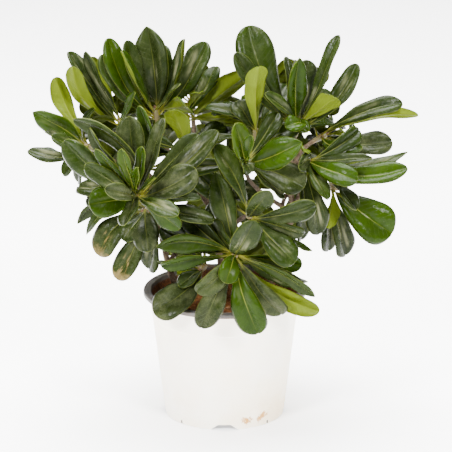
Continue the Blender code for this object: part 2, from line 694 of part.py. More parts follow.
def pot_profile():
    """The wall's closed outline, from the lip's inner top corner down the outside and back up."""
    inner = LIP_RADIUS - LIP_WIDTH
    top = POT_HEIGHT
    under_lip = POT_HEIGHT - LIP_DEPTH
    points = [
        (inner, top - 0.8), (inner + 0.9, top), (LIP_RADIUS - 1.2, top), (LIP_RADIUS, top - 1.2),
        (LIP_RADIUS, under_lip + 0.7), (LIP_RADIUS - 0.7, under_lip), (SHOULDER_RADIUS, under_lip),
        (wall_radius(LEDGE_HEIGHT + 0.1), LEDGE_HEIGHT + 0.1), (LEDGE_RADIUS, LEDGE_HEIGHT - 0.8),
        (FOOT_RADIUS + 0.4, 2.2), (FOOT_RADIUS, 0.0), (FOOT_RADIUS - FOOT_RIM, 0.0),
        (FOOT_RADIUS - FOOT_RIM, BASE_LIFT), (0.0, BASE_LIFT), (0.0, BASE_LIFT + WALL),
        (wall_radius(BASE_LIFT + WALL) - WALL, BASE_LIFT + WALL),
        (LEDGE_RADIUS - WALL, LEDGE_HEIGHT - 0.8),
        (wall_radius(LEDGE_HEIGHT + 0.1) - WALL, LEDGE_HEIGHT + 0.1),
        (SHOULDER_RADIUS - WALL, under_lip),
    ]
    return points


def turned(name, profile, collection, closed):
    """A profile of (radius, height) points turned about the upright axis."""
    shape = bmesh.new()
    verts = [shape.verts.new((radius, 0.0, height)) for radius, height in profile]
    edges = list(zip(verts, verts[1:]))
    if closed:
        edges.append((verts[-1], verts[0]))
    for pair in edges:
        shape.edges.new(pair)
    thing = object_from_bmesh(name, shape, collection)
    screw = thing.modifiers.new("turn", "SCREW")
    screw.steps = POT_SIDES
    screw.render_steps = POT_SIDES
    screw.use_merge_vertices = True
    screw.merge_threshold = 0.00005
    return thing


def cutter(name, shape, collection, turn=0.0):
    """A hidden solid that cuts another."""
    thing = object_from_bmesh(name, shape, collection)
    thing.rotation_euler.z = turn
    thing.hide_render = True
    thing.display_type = "WIRE"
    return thing


def cut(thing, tool):
    cutting = thing.modifiers.new("cut", "BOOLEAN")
    cutting.operation = "DIFFERENCE"
    cutting.object = tool
    cutting.solver = "EXACT"


def foot_arch():
    """A wedge-sided block for one of the arches in the pot's foot."""
    shape = bmesh.new()
    bmesh.ops.create_cube(shape, size=1.0)
    for vert in shape.verts:
        half = ARCH_TOP_WIDTH / 2 if vert.co.z > 0 else ARCH_WIDTH / 2 + 2.0
        vert.co.x = math.copysign(half, vert.co.x)
        vert.co.y = -FOOT_RADIUS + vert.co.y * 14.0
        vert.co.z = ARCH_HEIGHT if vert.co.z > 0 else -2.0
    return shape


def foot_slit():
    shape = bmesh.new()
    bmesh.ops.create_cube(shape, size=1.0)
    for vert in shape.verts:
        vert.co.x *= SLIT_WIDTH
        vert.co.y = -FOOT_RADIUS + vert.co.y * 14.0
        vert.co.z = SLIT_HEIGHT if vert.co.z > 0 else -2.0
    return shape


def upright_cylinder(x, y, low, high, radius, sides=12):
    shape = bmesh.new()
    bmesh.ops.create_cone(
        shape, cap_ends=True, segments=sides, radius1=radius, radius2=radius, depth=high - low
    )
    bmesh.ops.translate(shape, vec=Vector((x, y, (low + high) / 2)), verts=shape.verts)
    return shape


def build_pot(collection, cutters):
    pot = turned("pot", pot_profile(), collection, closed=True)
    for quarter in range(4):
        turn = quarter * math.pi / 2
        cut(pot, cutter("arch_cutter", foot_arch(), cutters, turn))
        cut(pot, cutter("slit_cutter", foot_slit(), cutters, turn + math.pi / 4))
        drain = upright_cylinder(DRAIN_CIRCLE, 0.0, BASE_LIFT - 2, BASE_LIFT + WALL + 2, DRAIN_RADIUS)
        cut(pot, cutter("drain_cutter", drain, cutters, turn + math.pi / 4))
    pot.data.materials.append(material("pot", "pot"))
    apply_modifiers(pot)
    pot.data.shade_smooth()
    pot.data.set_sharp_from_angle(angle=math.radians(35))


def build_soil(collection, cutters):
    """The plug of soil, a little domed, with a plain hole for each stem."""
    floor = BASE_LIFT + WALL + GAP
    clearance = WALL + GAP
    profile = [
        (0.0, SOIL_TOP + SOIL_DOME), (30.0, SOIL_TOP + SOIL_DOME * 0.8), (50.0, SOIL_TOP + 0.6),
        (wall_radius(SOIL_TOP) - clearance - 0.1, SOIL_TOP - 1.0),
        (wall_radius(LEDGE_HEIGHT + 0.1) - clearance, LEDGE_HEIGHT + 0.1),
        (LEDGE_RADIUS - clearance, LEDGE_HEIGHT - 0.8),
        (wall_radius(floor) - clearance, floor), (0.0, floor),
    ]
    soil = turned("soil", profile, collection, closed=False)
    for stem, points in STEMS.items():
        hole = upright_cylinder(
            points[0][0], points[0][1], ROOT_END - GAP, SOIL_TOP + 10.0, STEM_RADIUS + GAP + 0.1
        )
        cut(soil, cutter("hole_" + stem, hole, cutters))
    soil.data.materials.append(material("soil", "soil"))
    apply_modifiers(soil)


def smooth_path(points, steps):
    """Points on a curve through the given points."""
    path = []
    padded = [points[0] * 2 - points[1]] + points + [points[-1] * 2 - points[-2]]
    for before, start, end, after in zip(padded, padded[1:], padded[2:], padded[3:]):
        for step in range(steps):
            t = step / steps
            path.append(
                0.5 * (
                    2 * start + (end - before) * t
                    + (2 * before - 5 * start + 4 * end - after) * t ** 2
                    + (3 * start - before - 3 * end + after) * t ** 3
                )
            )
    return path + [points[-1]]


def wood(name, path, first_radius, last_radius, collection):
    """A tapering round branch along a path, as a mesh."""
    curve = bpy.data.curves.new(name, "CURVE")
    curve.dimensions = "3D"
    curve.bevel_depth = MM
    curve.bevel_resolution = 1
    curve.use_fill_caps = True
    spline = curve.splines.new("POLY")
    spline.points.add(len(path) - 1)
    for number, point in enumerate(path):
        share = number / (len(path) - 1)
        spline.points[number].co = (*(point * MM), 1.0)
        spline.points[number].radius = first_radius + (last_radius - first_radius) * share
    drawn = new_object(name, curve, collection)
    graph = bpy.context.evaluated_depsgraph_get()
    mesh = bpy.data.meshes.new_from_object(drawn.evaluated_get(graph))
    bpy.data.objects.remove(drawn)
    bpy.data.curves.remove(curve)
    shape = bmesh.new()
    shape.from_mesh(mesh)
    bmesh.ops.remove_doubles(shape, verts=shape.verts, dist=0.00001)
    shape.to_mesh(mesh)
    shape.free()
    return new_object(name, mesh, collection)


def stem_path(points):
    """The stem's foot goes straight down into its hole, and its top leans through the points."""
    foot = Vector((points[0][0], points[0][1], ROOT_END))
    return [foot] + smooth_path([Vector(point) for point in points], 3)


def branch_path(shoot):
    """From the stem at the fork's height to the lower end of the shoot."""
    stem = stem_path(STEMS[shoot.stem])
    start = next(
        low.lerp(high, (shoot.fork - low.z) / (high.z - low.z))
        for low, high in zip(stem, stem[1:])
        if low.z <= shoot.fork <= high.z
    )
    axis = shoot_axis(shoot)
    end = shoot_end(shoot) - axis * (SHOOT_LENGTH + GAP)
    bend = end - axis * 3.0
    control = bend - axis * (bend - start).length * 0.45
    return [quadratic(start, control, bend, step / 3) for step in range(4)] + [end]


def build_stem(name, points, collection):
    """A stem with a branch for each of its shoots, joined into one body."""
    stem = wood("stem_" + name, stem_path(points), STEM_RADIUS, BRANCH_RADIUS, collection)
    branches = bpy.data.collections.new("branches")
    for shoot in SHOOTS:
        if shoot.stem == name:
            wood("branch", branch_path(shoot), BRANCH_RADIUS, BRANCH_END_RADIUS, branches)
    join_by_union(stem, branches)
    stem.data.materials.append(material("stem_" + name, "stem"))


def shoot_mesh(shoot):
    """The green end of a shoot: a short, thick knuckle that the leaves grow from."""
    end = shoot_end(shoot)
    start = end - shoot_axis(shoot) * SHOOT_LENGTH
    shape = bmesh.new()
    rod(shape, start, end, SHOOT_RADIUS * 0.8, SHOOT_RADIUS, 5)
    return shape


def build_shoot(shoot, leaves, collection):
    """A shoot's leaves joined with its green end by one union."""
    name = "leaves_" + shoot.name
    main = object_from_bmesh(name, shoot_mesh(shoot), collection)
    blades = bpy.data.collections.new("blades")
    for leaf in leaves:
        object_from_bmesh("blade", leaf.mesh(), blades)
    join_by_union(main, blades)
    main.data.materials.append(material(name, "leaves"))


def glimpse_shape(across, up, half_width, half_height):
    """A bar along the line of sight through a glimpse of light."""
    shape = bmesh.new()
    bmesh.ops.create_cube(shape, size=2.0)
    for vert in shape.verts:
        vert.co = seen(across + vert.co.x * half_width, up + vert.co.z * half_height, vert.co.y * 200.0)
    return shape


def fill_obstacles():
    """The pot, the wood, the shoots' ends and the glimpses, before any leaf is placed."""
    obstacles = Obstacles()
    obstacles.add(pot_space())
    for name, points in STEMS.items():
        obstacles.add(rods(stem_path(points), STEM_RADIUS, BRANCH_RADIUS))
    for shoot in SHOOTS:
        obstacles.add(rods(branch_path(shoot), BRANCH_RADIUS, BRANCH_END_RADIUS))
        obstacles.add(shoot_mesh(shoot), shoot.name)
    for glimpse in GLIMPSES:
        obstacles.add_glimpse(glimpse_shape(*glimpse))
    return obstacles


def main():
    for thing in list(bpy.data.objects):
        bpy.data.objects.remove(thing)
    plant = bpy.data.collections.new("potted_japanese_pittosporum")
    cutters = bpy.data.collections.new("cutters")
    bpy.context.scene.collection.children.link(plant)
    bpy.context.scene.collection.children.link(cutters)
    build_pot(plant, cutters)
    build_soil(plant, cutters)
    for name, points in STEMS.items():
        build_stem(name, points, plant)
    placed = place_leaves(fill_obstacles())
    for shoot in SHOOTS:
        build_shoot(shoot, placed[shoot.name], plant)


main()
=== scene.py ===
"""The looks of the potted Japanese pittosporum.

Every leaf, shoot, stem, the soil and the pot are drawn finely, in the places that the CAD model
gives them. Sizes are in millimetres here and are written to the meshes in metres, +Z up.
"""
import math
import random
from collections import namedtuple

import bmesh
import bpy
from mathutils import Matrix, Vector, noise
from mathutils.bvhtree import BVHTree


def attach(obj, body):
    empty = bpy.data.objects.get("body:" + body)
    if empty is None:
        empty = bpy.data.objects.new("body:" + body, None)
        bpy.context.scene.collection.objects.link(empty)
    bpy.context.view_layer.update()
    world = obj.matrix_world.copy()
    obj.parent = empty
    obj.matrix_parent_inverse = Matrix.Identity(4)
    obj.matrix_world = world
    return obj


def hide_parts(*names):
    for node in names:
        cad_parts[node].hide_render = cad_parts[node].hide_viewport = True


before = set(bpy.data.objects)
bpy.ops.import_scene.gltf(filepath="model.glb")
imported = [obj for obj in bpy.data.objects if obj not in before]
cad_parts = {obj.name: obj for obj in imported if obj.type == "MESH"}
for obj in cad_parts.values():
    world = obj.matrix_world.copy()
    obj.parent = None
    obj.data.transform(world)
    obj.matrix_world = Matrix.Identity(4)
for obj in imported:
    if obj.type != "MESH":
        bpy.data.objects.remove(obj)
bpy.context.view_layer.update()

# Sizes that the CAD model is drawn to, in millimetres
MM = 0.001
POT_HEIGHT = 110.7
LIP_RADIUS = 70.0
LIP_WIDTH = 6.8
LIP_DEPTH = 3.8
SHOULDER_RADIUS = 64.3
LEDGE_RADIUS = 62.2
LEDGE_HEIGHT = 88.5
LEDGE_STEP = 0.5
FOOT_RADIUS = 51.9
FOOT_RIM = 3.0
WALL = 1.6
BASE_LIFT = 5.4
ARCH_WIDTH = 24.9
ARCH_TOP_WIDTH = 11.0
ARCH_HEIGHT = 4.8
SLIT_WIDTH = 1.6
SLIT_HEIGHT = 3.5
DRAIN_RADIUS = 4.0
DRAIN_CIRCLE = 24.0
SOIL_TOP = 101.0
SOIL_DOME = 2.5
GAP = 0.3
STEM_RADIUS = 3.4
BRANCH_RADIUS = 2.0
ROOT_END = 62.0
BRANCH_END_RADIUS = 1.7
SHOOT_RADIUS = 2.7
SHOOT_LENGTH = 12.0
BLADE_THICKNESS = 1.4
PETIOLE_HALF_WIDTH = 0.8
ROOT_OVERSHOOT = 1.4
BLADE_START = 0.14
ROOT_SHARE = 0.24
BLADE_STATIONS = (0.0, 0.035, 0.36, 0.68, 0.9, 0.98, 1.0)
HIDDEN_BLADE_STATIONS = (0.0, 0.035, 0.48, 0.86, 1.0)
MARGIN = 0.7
POT_SIDES = 32

# A leaf's outline: the power it rises by, and for each kind of end how late it turns in, how
# blunt it is, and the height of that curve
OUTLINE_RISE = 0.8
POINTED_OUTLINE = (2.6, 0.85, 0.512)
ROUND_OUTLINE = (4.4, 0.55, 0.663)

# The plant is laid out as its front is seen from 17.4 degrees above the ground and 2.5 m away
VIEW_TILT = math.radians(17.4)
VIEW_DISTANCE = 2500.0
VIEW_MIDDLE = (1.8, 159.5)
VIEW_PLANE = 33.0
CAMERA_LENS = 230.7
CAMERA_NUDGE = 0.5
SIN_TILT = math.sin(VIEW_TILT)
COS_TILT = math.cos(VIEW_TILT)
TO_VIEWER = Vector((0.0, -COS_TILT, SIN_TILT))
GOLDEN_ANGLE = math.radians(137.5)

# Sizes of the fine pieces, in millimetres
POT_STEPS = 128
BLADE_COLUMNS = 12
BLADE_ROWS = 24
BLADE_HALF_THICKNESS = 0.3
MIDRIB_SINK = 0.55
MIDRIB_REACH = 0.9
MARGIN_CURL = 1.6
MARGIN_WAVE = 1.0
SPINE_WAVE = 0.8
BLADE_CROWDING = 1.7
MARGIN_UNIT = 20.0
SEAM = 0.002
BUD_SCALES = 7
RING_SPACING = 1.6
CUTTER_DEPTH = 14.0
LEDGE_TOP = LEDGE_HEIGHT + 0.1
LEDGE_FOOT = LEDGE_HEIGHT - 0.8
SOIL_RINGS = 22
CRUMB_CIRCLE = 59.0
CRUMBS = 420
CHIPS = 60
CLEAR_OF_STEM = 6.0

# The leaves that don't look plain dark green: for each look, where their tips are seen
TIPS = {
    "lime": (
        (82, 85), (-147, 288), (-131, 298), (-117, 305), (29, 298), (-46, 260), (23, 257),
        (20, 292), (-22, 275), (37, 234), (125, 209), (71, 204), (70, 225), (105, 240),
        (168, 256),
    ),
    "pale": ((90, 157), (-32, 263), (-39, 116), (95, 271)),
    "bright": (
        (29, 66), (67, 125), (67, 232), (10, 248), (23, 238), (4, 223), (115, 199), (158, 210),
        (145, 153), (-100, 322), (-88, 311), (-75, 263), (-112, 225), (-89, 226), (-71, 228),
        (-75, 210), (-61, 202), (65, 305), (52, 246), (72, 241), (-78, 275), (-166, 257),
        (119, 228), (1, 110), (-117, 178), (-39, 156),
    ),
    "dull": ((49, 82), (-62, 86)),
    "dusty": (
        (-20, 71), (-24, 102), (-66, 137), (-10, 158), (69, 193), (-83, 254), (-25, 209),
        (145, 233), (-53, 253), (-103, 192),
    ),
    "fresh": ((-59, 141), (-55, 124)),
    "scarred": ((-110, 134), (-94, 114)),
}
LOOKS = {tip: look for look, tips in TIPS.items() for tip in tips}

# Each look: how young, how dusty and how scarred, from 0 to 1
YOUTH_DUST_SCARS = {
    "plain": (0.2, 0.4, 0.0),
    "fresh": (0.42, 0.25, 0.0),
    "lime": (0.95, 0.0, 0.0),
    "pale": (0.6, 0.05, 0.0),
    "bright": (0.62, 0.05, 0.0),
    "dusty": (0.05, 0.85, 0.0),
    "dull": (0.12, 1.0, 0.0),
    "scarred": (0.15, 0.8, 1.0),
    "hidden": (0.18, 0.16, 0.0),
}


def seen(across, up, back):
    """Gives the point that is seen at (across, up) and lies `back` behind the pot's middle."""
    height = (up - back * SIN_TILT) / COS_TILT
    nearness = height * SIN_TILT - back * COS_TILT - VIEW_PLANE
    shrink = 1.0 - nearness / VIEW_DISTANCE
    across = VIEW_MIDDLE[0] + (across - VIEW_MIDDLE[0]) * shrink
    up = VIEW_MIDDLE[1] + (up - VIEW_MIDDLE[1]) * shrink
    return Vector((across, back, (up - back * SIN_TILT) / COS_TILT))


def as_seen(point):
    """Gives where a point is seen, across and up."""
    up = point.z * COS_TILT + point.y * SIN_TILT
    nearness = point.z * SIN_TILT - point.y * COS_TILT - VIEW_PLANE
    grow = 1.0 / (1.0 - nearness / VIEW_DISTANCE)
    across = VIEW_MIDDLE[0] + (point.x - VIEW_MIDDLE[0]) * grow
    return across, VIEW_MIDDLE[1] + (up - VIEW_MIDDLE[1]) * grow


# A shoot: the stem it grows on, the height where its branch leaves that stem, where the
# shoot's end is seen (across, up) and how far back it lies, the way it points (x, y, z),
# how many leaves a rule adds on its hidden side, and the leaves that are listed for it
Shoot = namedtuple("Shoot", "name stem fork centre axis hidden leaves")
POINTED = "pointed"

# A listed leaf: where its tip is seen (across, up), how far the tip lies behind the
# shoot's end, its width, how squarely its upper side is seen (1 full on, 0 edge on and -1
# the underside), how far it arches, how far its middle is seen to the right of a straight
# leaf when its tip points up, its fold in degrees, and POINTED for a pointed end
LEAVES_FRONT_LOW = (
    (72, 110, 14, 18, 0.6, 6, 0, 8, POINTED),
    (60, 107, 4, 18, 0.7, 6, 0, 5),
    (-12, 163, 12, 22, 0.7, 5, 0, 10),
    (-8, 206, 8, 24, 0.9, 5, 1, 10, POINTED),
    (-20, 71, -15, 23, 0.9, 12, 0, 4),
    (29, 66, -17, 28, 0.92, 14, 3, 8),
    (49, 82, 4, 27, 0.8, 10, 2, 5),
    (82, 85, -20, 20, -0.8, 9, 8, 8),
    (78, 97, 0, 17, 0.55, 6, -4, 12, POINTED),
    (67, 125, 6, 20, 0.7, 6, 0, 5),
    (-59, 141, -6, 22, 0.75, 4, 8, 20, POINTED),
    (-55, 124, 2, 20, 0.6, 4, 2, 15),
    (-24, 102, -22, 24, 0.85, 10, -3, 8),
    (27, 164, -34, 25, 0.9, 10, 0, 5),
    (1, 110, -26, 20, 0.9, 8, 0, 5),
)
LEAVES_FRONT_MIDDLE = (
    (-8, 230, 6, 22, 0.85, 5, 3, 10),
    (61, 128, -10, 27, 0.9, 6, 0, 5),
    (68, 151, 8, 18, 0.6, 6, 0, 10),
    (55, 118, 14, 20, 0.65, 6, 0, 8),
    (76, 138, 16, 13, 0.5, 4, 2, 10, POINTED),
    (79, 178, -25, 20, 0.8, 6, 4, 12),
    (39, 189, -42, 19, 0.8, 8, 0, 8),
)
LEAVES_FRONT_LOW_LEFT = (
    (-62, 86, -22, 32, 0.9, 8, -5, 0),
    (-40, 108, -6, 16, 0.7, 5, 0, 5),
    (-58, 128, 5, 10, 0.4, 5, 0, 15),
    (-39, 116, -16, 12, -0.8, 7, 0, 5),
)
LEAVES_LEFT_FRONT = (
    (-139, 233, 5, 26, 0.85, 6, -4, 8),
    (-120, 184, 15, 20, 0.8, 6, 0, 8),
    (-127, 195, 20, 22, 0.7, 6, 0, 8),
    (-6, 242, 8, 26, 0.8, 5, 4, 12),
    (-23, 239, 20, 22, 0.7, 4, 0, 10),
    (-9, 165, -8, 23, 0.6, 8, 2, 14),
    (-131, 251, -5, 20, 0.65, 14, 18, 12),
    (-75, 263, 10, 18, 0.6, 4, 11, 15),
    (-83, 254, -6, 25, 0.9, 5, 0, 8),
    (-25, 209, -15, 27, 0.9, 6, 4, 5),
    (-53, 253, -9, 20, 0.7, 10, 1, 12),
    (-117, 244, -13, 20, 0.6, 8, 0, 25),
    (-39, 156, -12, 20, 0.8, 8, -1, 5),
    (-117, 178, -28, 27, 0.95, 6, 0, 5),
    (-40, 169, -30, 20, 0.75, 6, 0, 10),
    (-87, 160, -42, 20, 0.7, 6, 0, 10),
    (-103, 192, -36, 24, 0.9, 8, 0, 10),
    (-20, 184, -8, 17, 0.65, 6, 0, 10),
    (-121, 212, -22, 18, 0.9, 10, 0, 10),
    (-112, 225, -24, 13, 0.8, 5, 0, 10),
    (-89, 226, -28, 13, 0.75, 5, 0, 12),
    (-71, 228, -26, 12, 0.8, 5, 0, 12),
    (-75, 210, -30, 9, 0.6, 3, 0, 15),
    (-61, 202, -24, 9, 0.4, 3, 0, 15),
)
LEAVES_CENTRE = (
    (69, 193, -12, 27, 0.95, 5, -3, 5),
    (37, 234, 10, 16, -0.6, 5, 0, 8),
    (67, 232, -20, 27, 0.95, 8, 2, 5, POINTED),
    (10, 248, -30, 20, 0.85, 8, 0, 8),
    (24, 205, -22, 15, 0.75, 6, 0, 8),
    (52, 184, -8, 15, 0.65, 6, 0, 10),
    (23, 238, -27, 12, 0.55, 6, 0, 15),
    (4, 223, -22, 10, 0.5, 4, 0, 15),
)
LEAVES_RIGHT_FRONT = (
    (158, 224, 5, 18, 0.6, 8, 11, 12, POINTED),
    (158, 210, -6, 24, 0.85, 8, 10, 8),
    (67, 147, 5, 22, 0.7, 6, 0, 10),
    (83, 152, -14, 24, 0.85, 8, 0, 5),
    (128, 219, -15, 14, 0.6, 6, 0, 10, POINTED),
    (115, 199, -30, 22, 0.85, 8, 0, 5),
    (125, 209, -26, 19, -0.7, 10, 0, 5),
    (90, 183, -36, 18, 0.75, 8, 0, 8),
    (64, 210, -38, 16, 0.7, 6, 0, 8),
    (71, 204, -32, 12, -0.6, 5, 0, 8),
    (70, 225, -30, 12, -0.6, 5, 0, 8),
)
LEAVES_RIGHT_LOW = (
    (145, 153, -12, 37, 0.95, 7, 2, 3),
    (105, 134, 4, 25, 0.75, 6, 0, 12),
    (90, 138, 12, 20, 0.65, 6, 0, 10),
    (90, 157, -20, 17, -0.7, 8, 0, 12, POINTED),
    (114, 173, -32, 20, 0.6, 12, 0, 20),
)
LEAVES_TOP_RIGHT = (
    (21, 333, 6, 33, 0.93, 8, -7, 5),
    (9, 309, -14, 19, 0.8, 6, -4, 10),
    (98, 325, -4, 19, 0.55, 8, 2, 18),
    (114, 300, -4, 19, 0.88, 6, 8, 10),
    (53, 306, 14, 15, 0.6, 4, 0, 12),
    (73, 303, 5, 22, 0.8, 4, 0, 10),
    (65, 305, -12, 22, 0.8, 4, -3, 12, POINTED),
    (35, 274, -26, 15, 0.6, 6, 2, 20),
    (95, 271, -30, 20, -0.88, 6, 0, 5),
    (72, 241, -38, 17, 0.8, 8, 0, 5),
    (52, 246, -30, 17, 0.85, 8, 0, 5),
)
LEAVES_LEFT_LOW = (
    (-127, 161, 10, 15, 0.65, 10, 14, 12, POINTED),
    (-120, 152, 0, 15, 0.7, 16, 13, 12, POINTED),
    (-10, 158, 15, 20, 0.75, 6, 0, 5),
    (-19, 194, 20, 12, 0.5, 5, 0, 10),
    (-66, 122, 10, 26, 0.8, 5, -3, 10),
    (-110, 134, -10, 28, 0.88, 6, 7, 5),
    (-94, 114, -15, 22, 0.92, 5, -4, 5),
    (-88, 147, -22, 20, 0.8, 6, 0, 5),
    (-66, 137, -36, 26, 0.9, 8, 0, 5),
)
LEAVES_RIGHT = (
    (168, 256, -16, 12, -0.7, 8, -8, 12),
    (154, 266, 4, 20, 0.8, 8, -6, 10),
    (145, 233, -15, 23, 0.85, 8, 5, 8),
    (119, 228, -40, 18, 0.85, 10, 6, 5),
    (105, 240, -30, 14, -0.6, 6, 0, 8),
)
LEAVES_LEFT = (
    (-147, 288, 14, 19, -0.8, 5, -3, 8),
    (-169, 226, -5, 19, 0.72, 8, -8, 12),
    (-140, 204, -25, 21, 0.6, 12, 0, 12),
    (-128, 197, -18, 21, 0.6, 12, 0, 12),
    (-166, 257, -20, 23, 0.88, 5, 2, 10, POINTED),
    (-155, 241, -30, 14, 0.5, 8, -2, 15),
    (-149, 238, -42, 20, 0.75, 8, -4, 10),
)
LEAVES_MIDDLE_LEFT = (
    (-46, 260, -10, 22, -0.85, 5, 4, 5),
)
LEAVES_MIDDLE_RIGHT = (
    (29, 298, -18, 22, -0.85, 6, -2, 5),
    (54, 282, 42, 24, 0.85, 5, 0, 8),
    (10, 268, 2, 20, 0.85, 5, 0, 8),
)
LEAVES_TOP_MIDDLE = (
    (20, 292, -5, 25, -0.8, 5, 0, 12),
    (-8, 298, 15, 22, 0.7, 5, 2, 10),
    (23, 257, -25, 22, -0.75, 5, 3, 15),
    (-22, 275, -20, 12, -0.6, 5, 0, 10),
)
LEAVES_TOP_LEFT = (
    (-55, 316, 12, 22, 0.85, 5, 3, 8),
    (-105, 308, 5, 24, 0.7, 5, -9, 12),
    (-100, 322, 0, 22, 0.85, 5, -9, 10),
    (-17, 319, 5, 27, 0.88, 5, 6, 8),
    (-68, 332, 0, 33, 0.9, 5, 3, 8, POINTED),
    (-84, 320, -5, 20, 0.75, 5, -3, 10),
    (-88, 311, -15, 16, 0.4, 5, -3, 25),
    (-36, 321, -10, 19, 0.5, 4, 8, 25),
    (-32, 263, -40, 22, -0.8, 8, -2, 5),
    (-39, 283, -20, 10, 0.35, 4, 0, 15),
)
LEAVES_LEFT_TOP = (
    (-135, 310, 8, 22, 0.75, 5, -2, 12),
    (-121, 310, 0, 18, 0.6, 5, 0, 12),
    (-131, 298, -24, 17, -0.85, 5, -11, 10),
    (-117, 305, -10, 20, -0.8, 5, 0, 12),
    (-78, 275, -25, 14, 0.5, 6, 0, 12),
    (-124, 268, 10, 22, -0.8, 5, 0, 10),
)

LEAVES_BACK_LEFT = (
    (-116, 256, -12, 25, -0.85, 6, 0, 8),
    (-45, 243, -15, 24, -0.85, 6, 0, 8),
)
LEAVES_BACK_MIDDLE = (
    (-24, 248, -24, 24, -0.85, 6, 0, 8),
    (42, 256, -24, 24, -0.85, 6, 0, 8),
    (12, 250, -20, 20, -0.85, 6, 0, 8),
    (28, 187, -60, 26, 0.85, 6, 0, 8),
)
LEAVES_BACK_TOP_LEFT = (
    (-100, 268, -10, 25, -0.85, 6, 0, 8),
    (-94, 292, -5, 25, -0.85, 6, 0, 8),
    (-22, 300, 10, 26, -0.85, 6, 0, 8),
    (-62, 246, -10, 22, -0.8, 6, 0, 8),
)
LEAVES_BACK_TOP_RIGHT = (
    (88, 294, -5, 24, -0.85, 6, 0, 8),
    (60, 303, 5, 24, -0.85, 6, 0, 8),
    (100, 264, -12, 24, -0.85, 6, 0, 8),
)

# The shoots from the front to the back, in the order in which their leaves are placed
SHOOTS = (
    Shoot("front_low", "middle", 118, (9, 134, -66), (0.0, -0.96, 0.2), 3, LEAVES_FRONT_LOW),
    Shoot(
        "front_middle", "middle", 150, (22, 168, -68), (0.1, -0.95, 0.25), 3,
        LEAVES_FRONT_MIDDLE,
    ),
    Shoot(
        "front_low_left", "middle", 112, (-21, 122, -38), (-0.3, -0.85, 0.1), 4,
        LEAVES_FRONT_LOW_LEFT,
    ),
    Shoot("left_front", "left", 168, (-78, 186, -66), (-0.4, -0.75, 0.45), 0, LEAVES_LEFT_FRONT),
    Shoot("centre", "right", 178, (19, 216, -56), (0.05, -0.75, 0.6), 3, LEAVES_CENTRE),
    Shoot("right_front", "right", 184, (73, 216, -40), (0.5, -0.75, 0.35), 2, LEAVES_RIGHT_FRONT),
    Shoot("right_low", "right", 174, (98, 192, -14), (0.75, -0.5, -0.1), 5, LEAVES_RIGHT_LOW),
    Shoot("top_right", "right", 200, (64, 249, -16), (0.2, -0.25, 0.95), 4, LEAVES_TOP_RIGHT),
    Shoot("left_low", "left", 160, (-70, 173, -24), (-0.6, -0.4, -0.1), 5, LEAVES_LEFT_LOW),
    Shoot("right", "right", 194, (88, 239, 15), (0.85, 0.0, 0.5), 6, LEAVES_RIGHT),
    Shoot("left", "left", 176, (-124, 231, 4), (-0.9, 0.0, 0.45), 6, LEAVES_LEFT),
    Shoot("middle_left", "middle", 182, (-36, 224, -14), (-0.2, -0.4, 0.9), 7, LEAVES_MIDDLE_LEFT),
    Shoot("middle_right", "right", 205, (27, 243, -28), (-0.1, -0.2, 1.0), 5, LEAVES_MIDDLE_RIGHT),
    Shoot("top_middle", "middle", 205, (-35, 259, 22), (0.0, 0.3, 0.95), 6, LEAVES_TOP_MIDDLE),
    Shoot("top_left", "middle", 198, (-60, 261, 16), (-0.2, 0.1, 1.0), 5, LEAVES_TOP_LEFT),
    Shoot("left_top", "left", 182, (-91, 251, 26), (-0.55, 0.3, 0.8), 6, LEAVES_LEFT_TOP),
    Shoot("back_left", "left", 150, (-72, 212, 68), (-0.5, 0.8, 0.35), 11, LEAVES_BACK_LEFT),
    Shoot("back_middle", "middle", 140, (5, 195, 84), (0.05, 1.0, 0.3), 11, LEAVES_BACK_MIDDLE),
    Shoot("back_right", "right", 155, (64, 200, 70), (0.5, 0.8, 0.35), 12, ()),
    Shoot("back_top_left", "left", 186, (-30, 268, 60), (-0.2, 0.6, 0.8), 10, LEAVES_BACK_TOP_LEFT),
    Shoot(
        "back_top_right", "right", 208, (42, 272, 54), (0.3, 0.6, 0.8), 10,
        LEAVES_BACK_TOP_RIGHT,
    ),
    Shoot("back_low_left", "left", 132, (-50, 152, 66), (-0.45, 0.9, 0.0), 10, ()),
    Shoot("back_low_right", "right", 138, (52, 155, 68), (0.45, 0.9, 0.0), 10, ()),
    Shoot("side_left", "left", 142, (-102, 192, 42), (-0.9, 0.3, 0.1), 10, ()),
    Shoot("side_right", "right", 146, (100, 196, 42), (0.85, 0.45, 0.1), 10, ()),
)

# Each stem: a straight foot in the soil at (x, y), then the points that it leans through
STEMS = {
    "left": ((-38, 10, 104), (-47, 8, 124), (-56, 0, 168), (-60, 4, 190)),
    "middle": ((0, 8, 104), (-3, 6, 130), (-11, 8, 175), (-22, 10, 210)),
    "right": ((36, 14, 104), (46, 11, 130), (57, 6, 180), (56, 6, 212)),
}

# Where light comes through the foliage, as seen: across, up, half the width and half the height
GLIMPSES = (
    (16, 278, 4, 5),
    (2, 228, 4, 2),
    (-37, 235, 8, 3),
    (22, 201, 4, 2),
    (43, 188, 4, 4),
    (46, 177, 4, 5),
    (76, 202, 3, 2),
    (86, 179, 5, 7),
    (-36, 189, 5, 3),
)

# The hidden leaves: what the oldest have and how much of it the youngest lack
HIDDEN_LEAN, LEAN_LOST = 98.0, 48.0
HIDDEN_LENGTH, LENGTH_LOST = 66.0, 18.0
HIDDEN_WIDTH, WIDTH_LOST = 22.0, 5.0

# What is tried in turn until a leaf is clear: slimmer, shorter, and turned about its shoot
SLIMMER = (1.0, 0.8, 0.6)
SHORTER = (1.0, 0.85, 0.7)
TURNS = (0.0, 0.5, -0.5, 1.0, -1.0, 1.6, -1.6, 2.3, -2.3, 3.1)
HIDDEN_PUSHES = 9

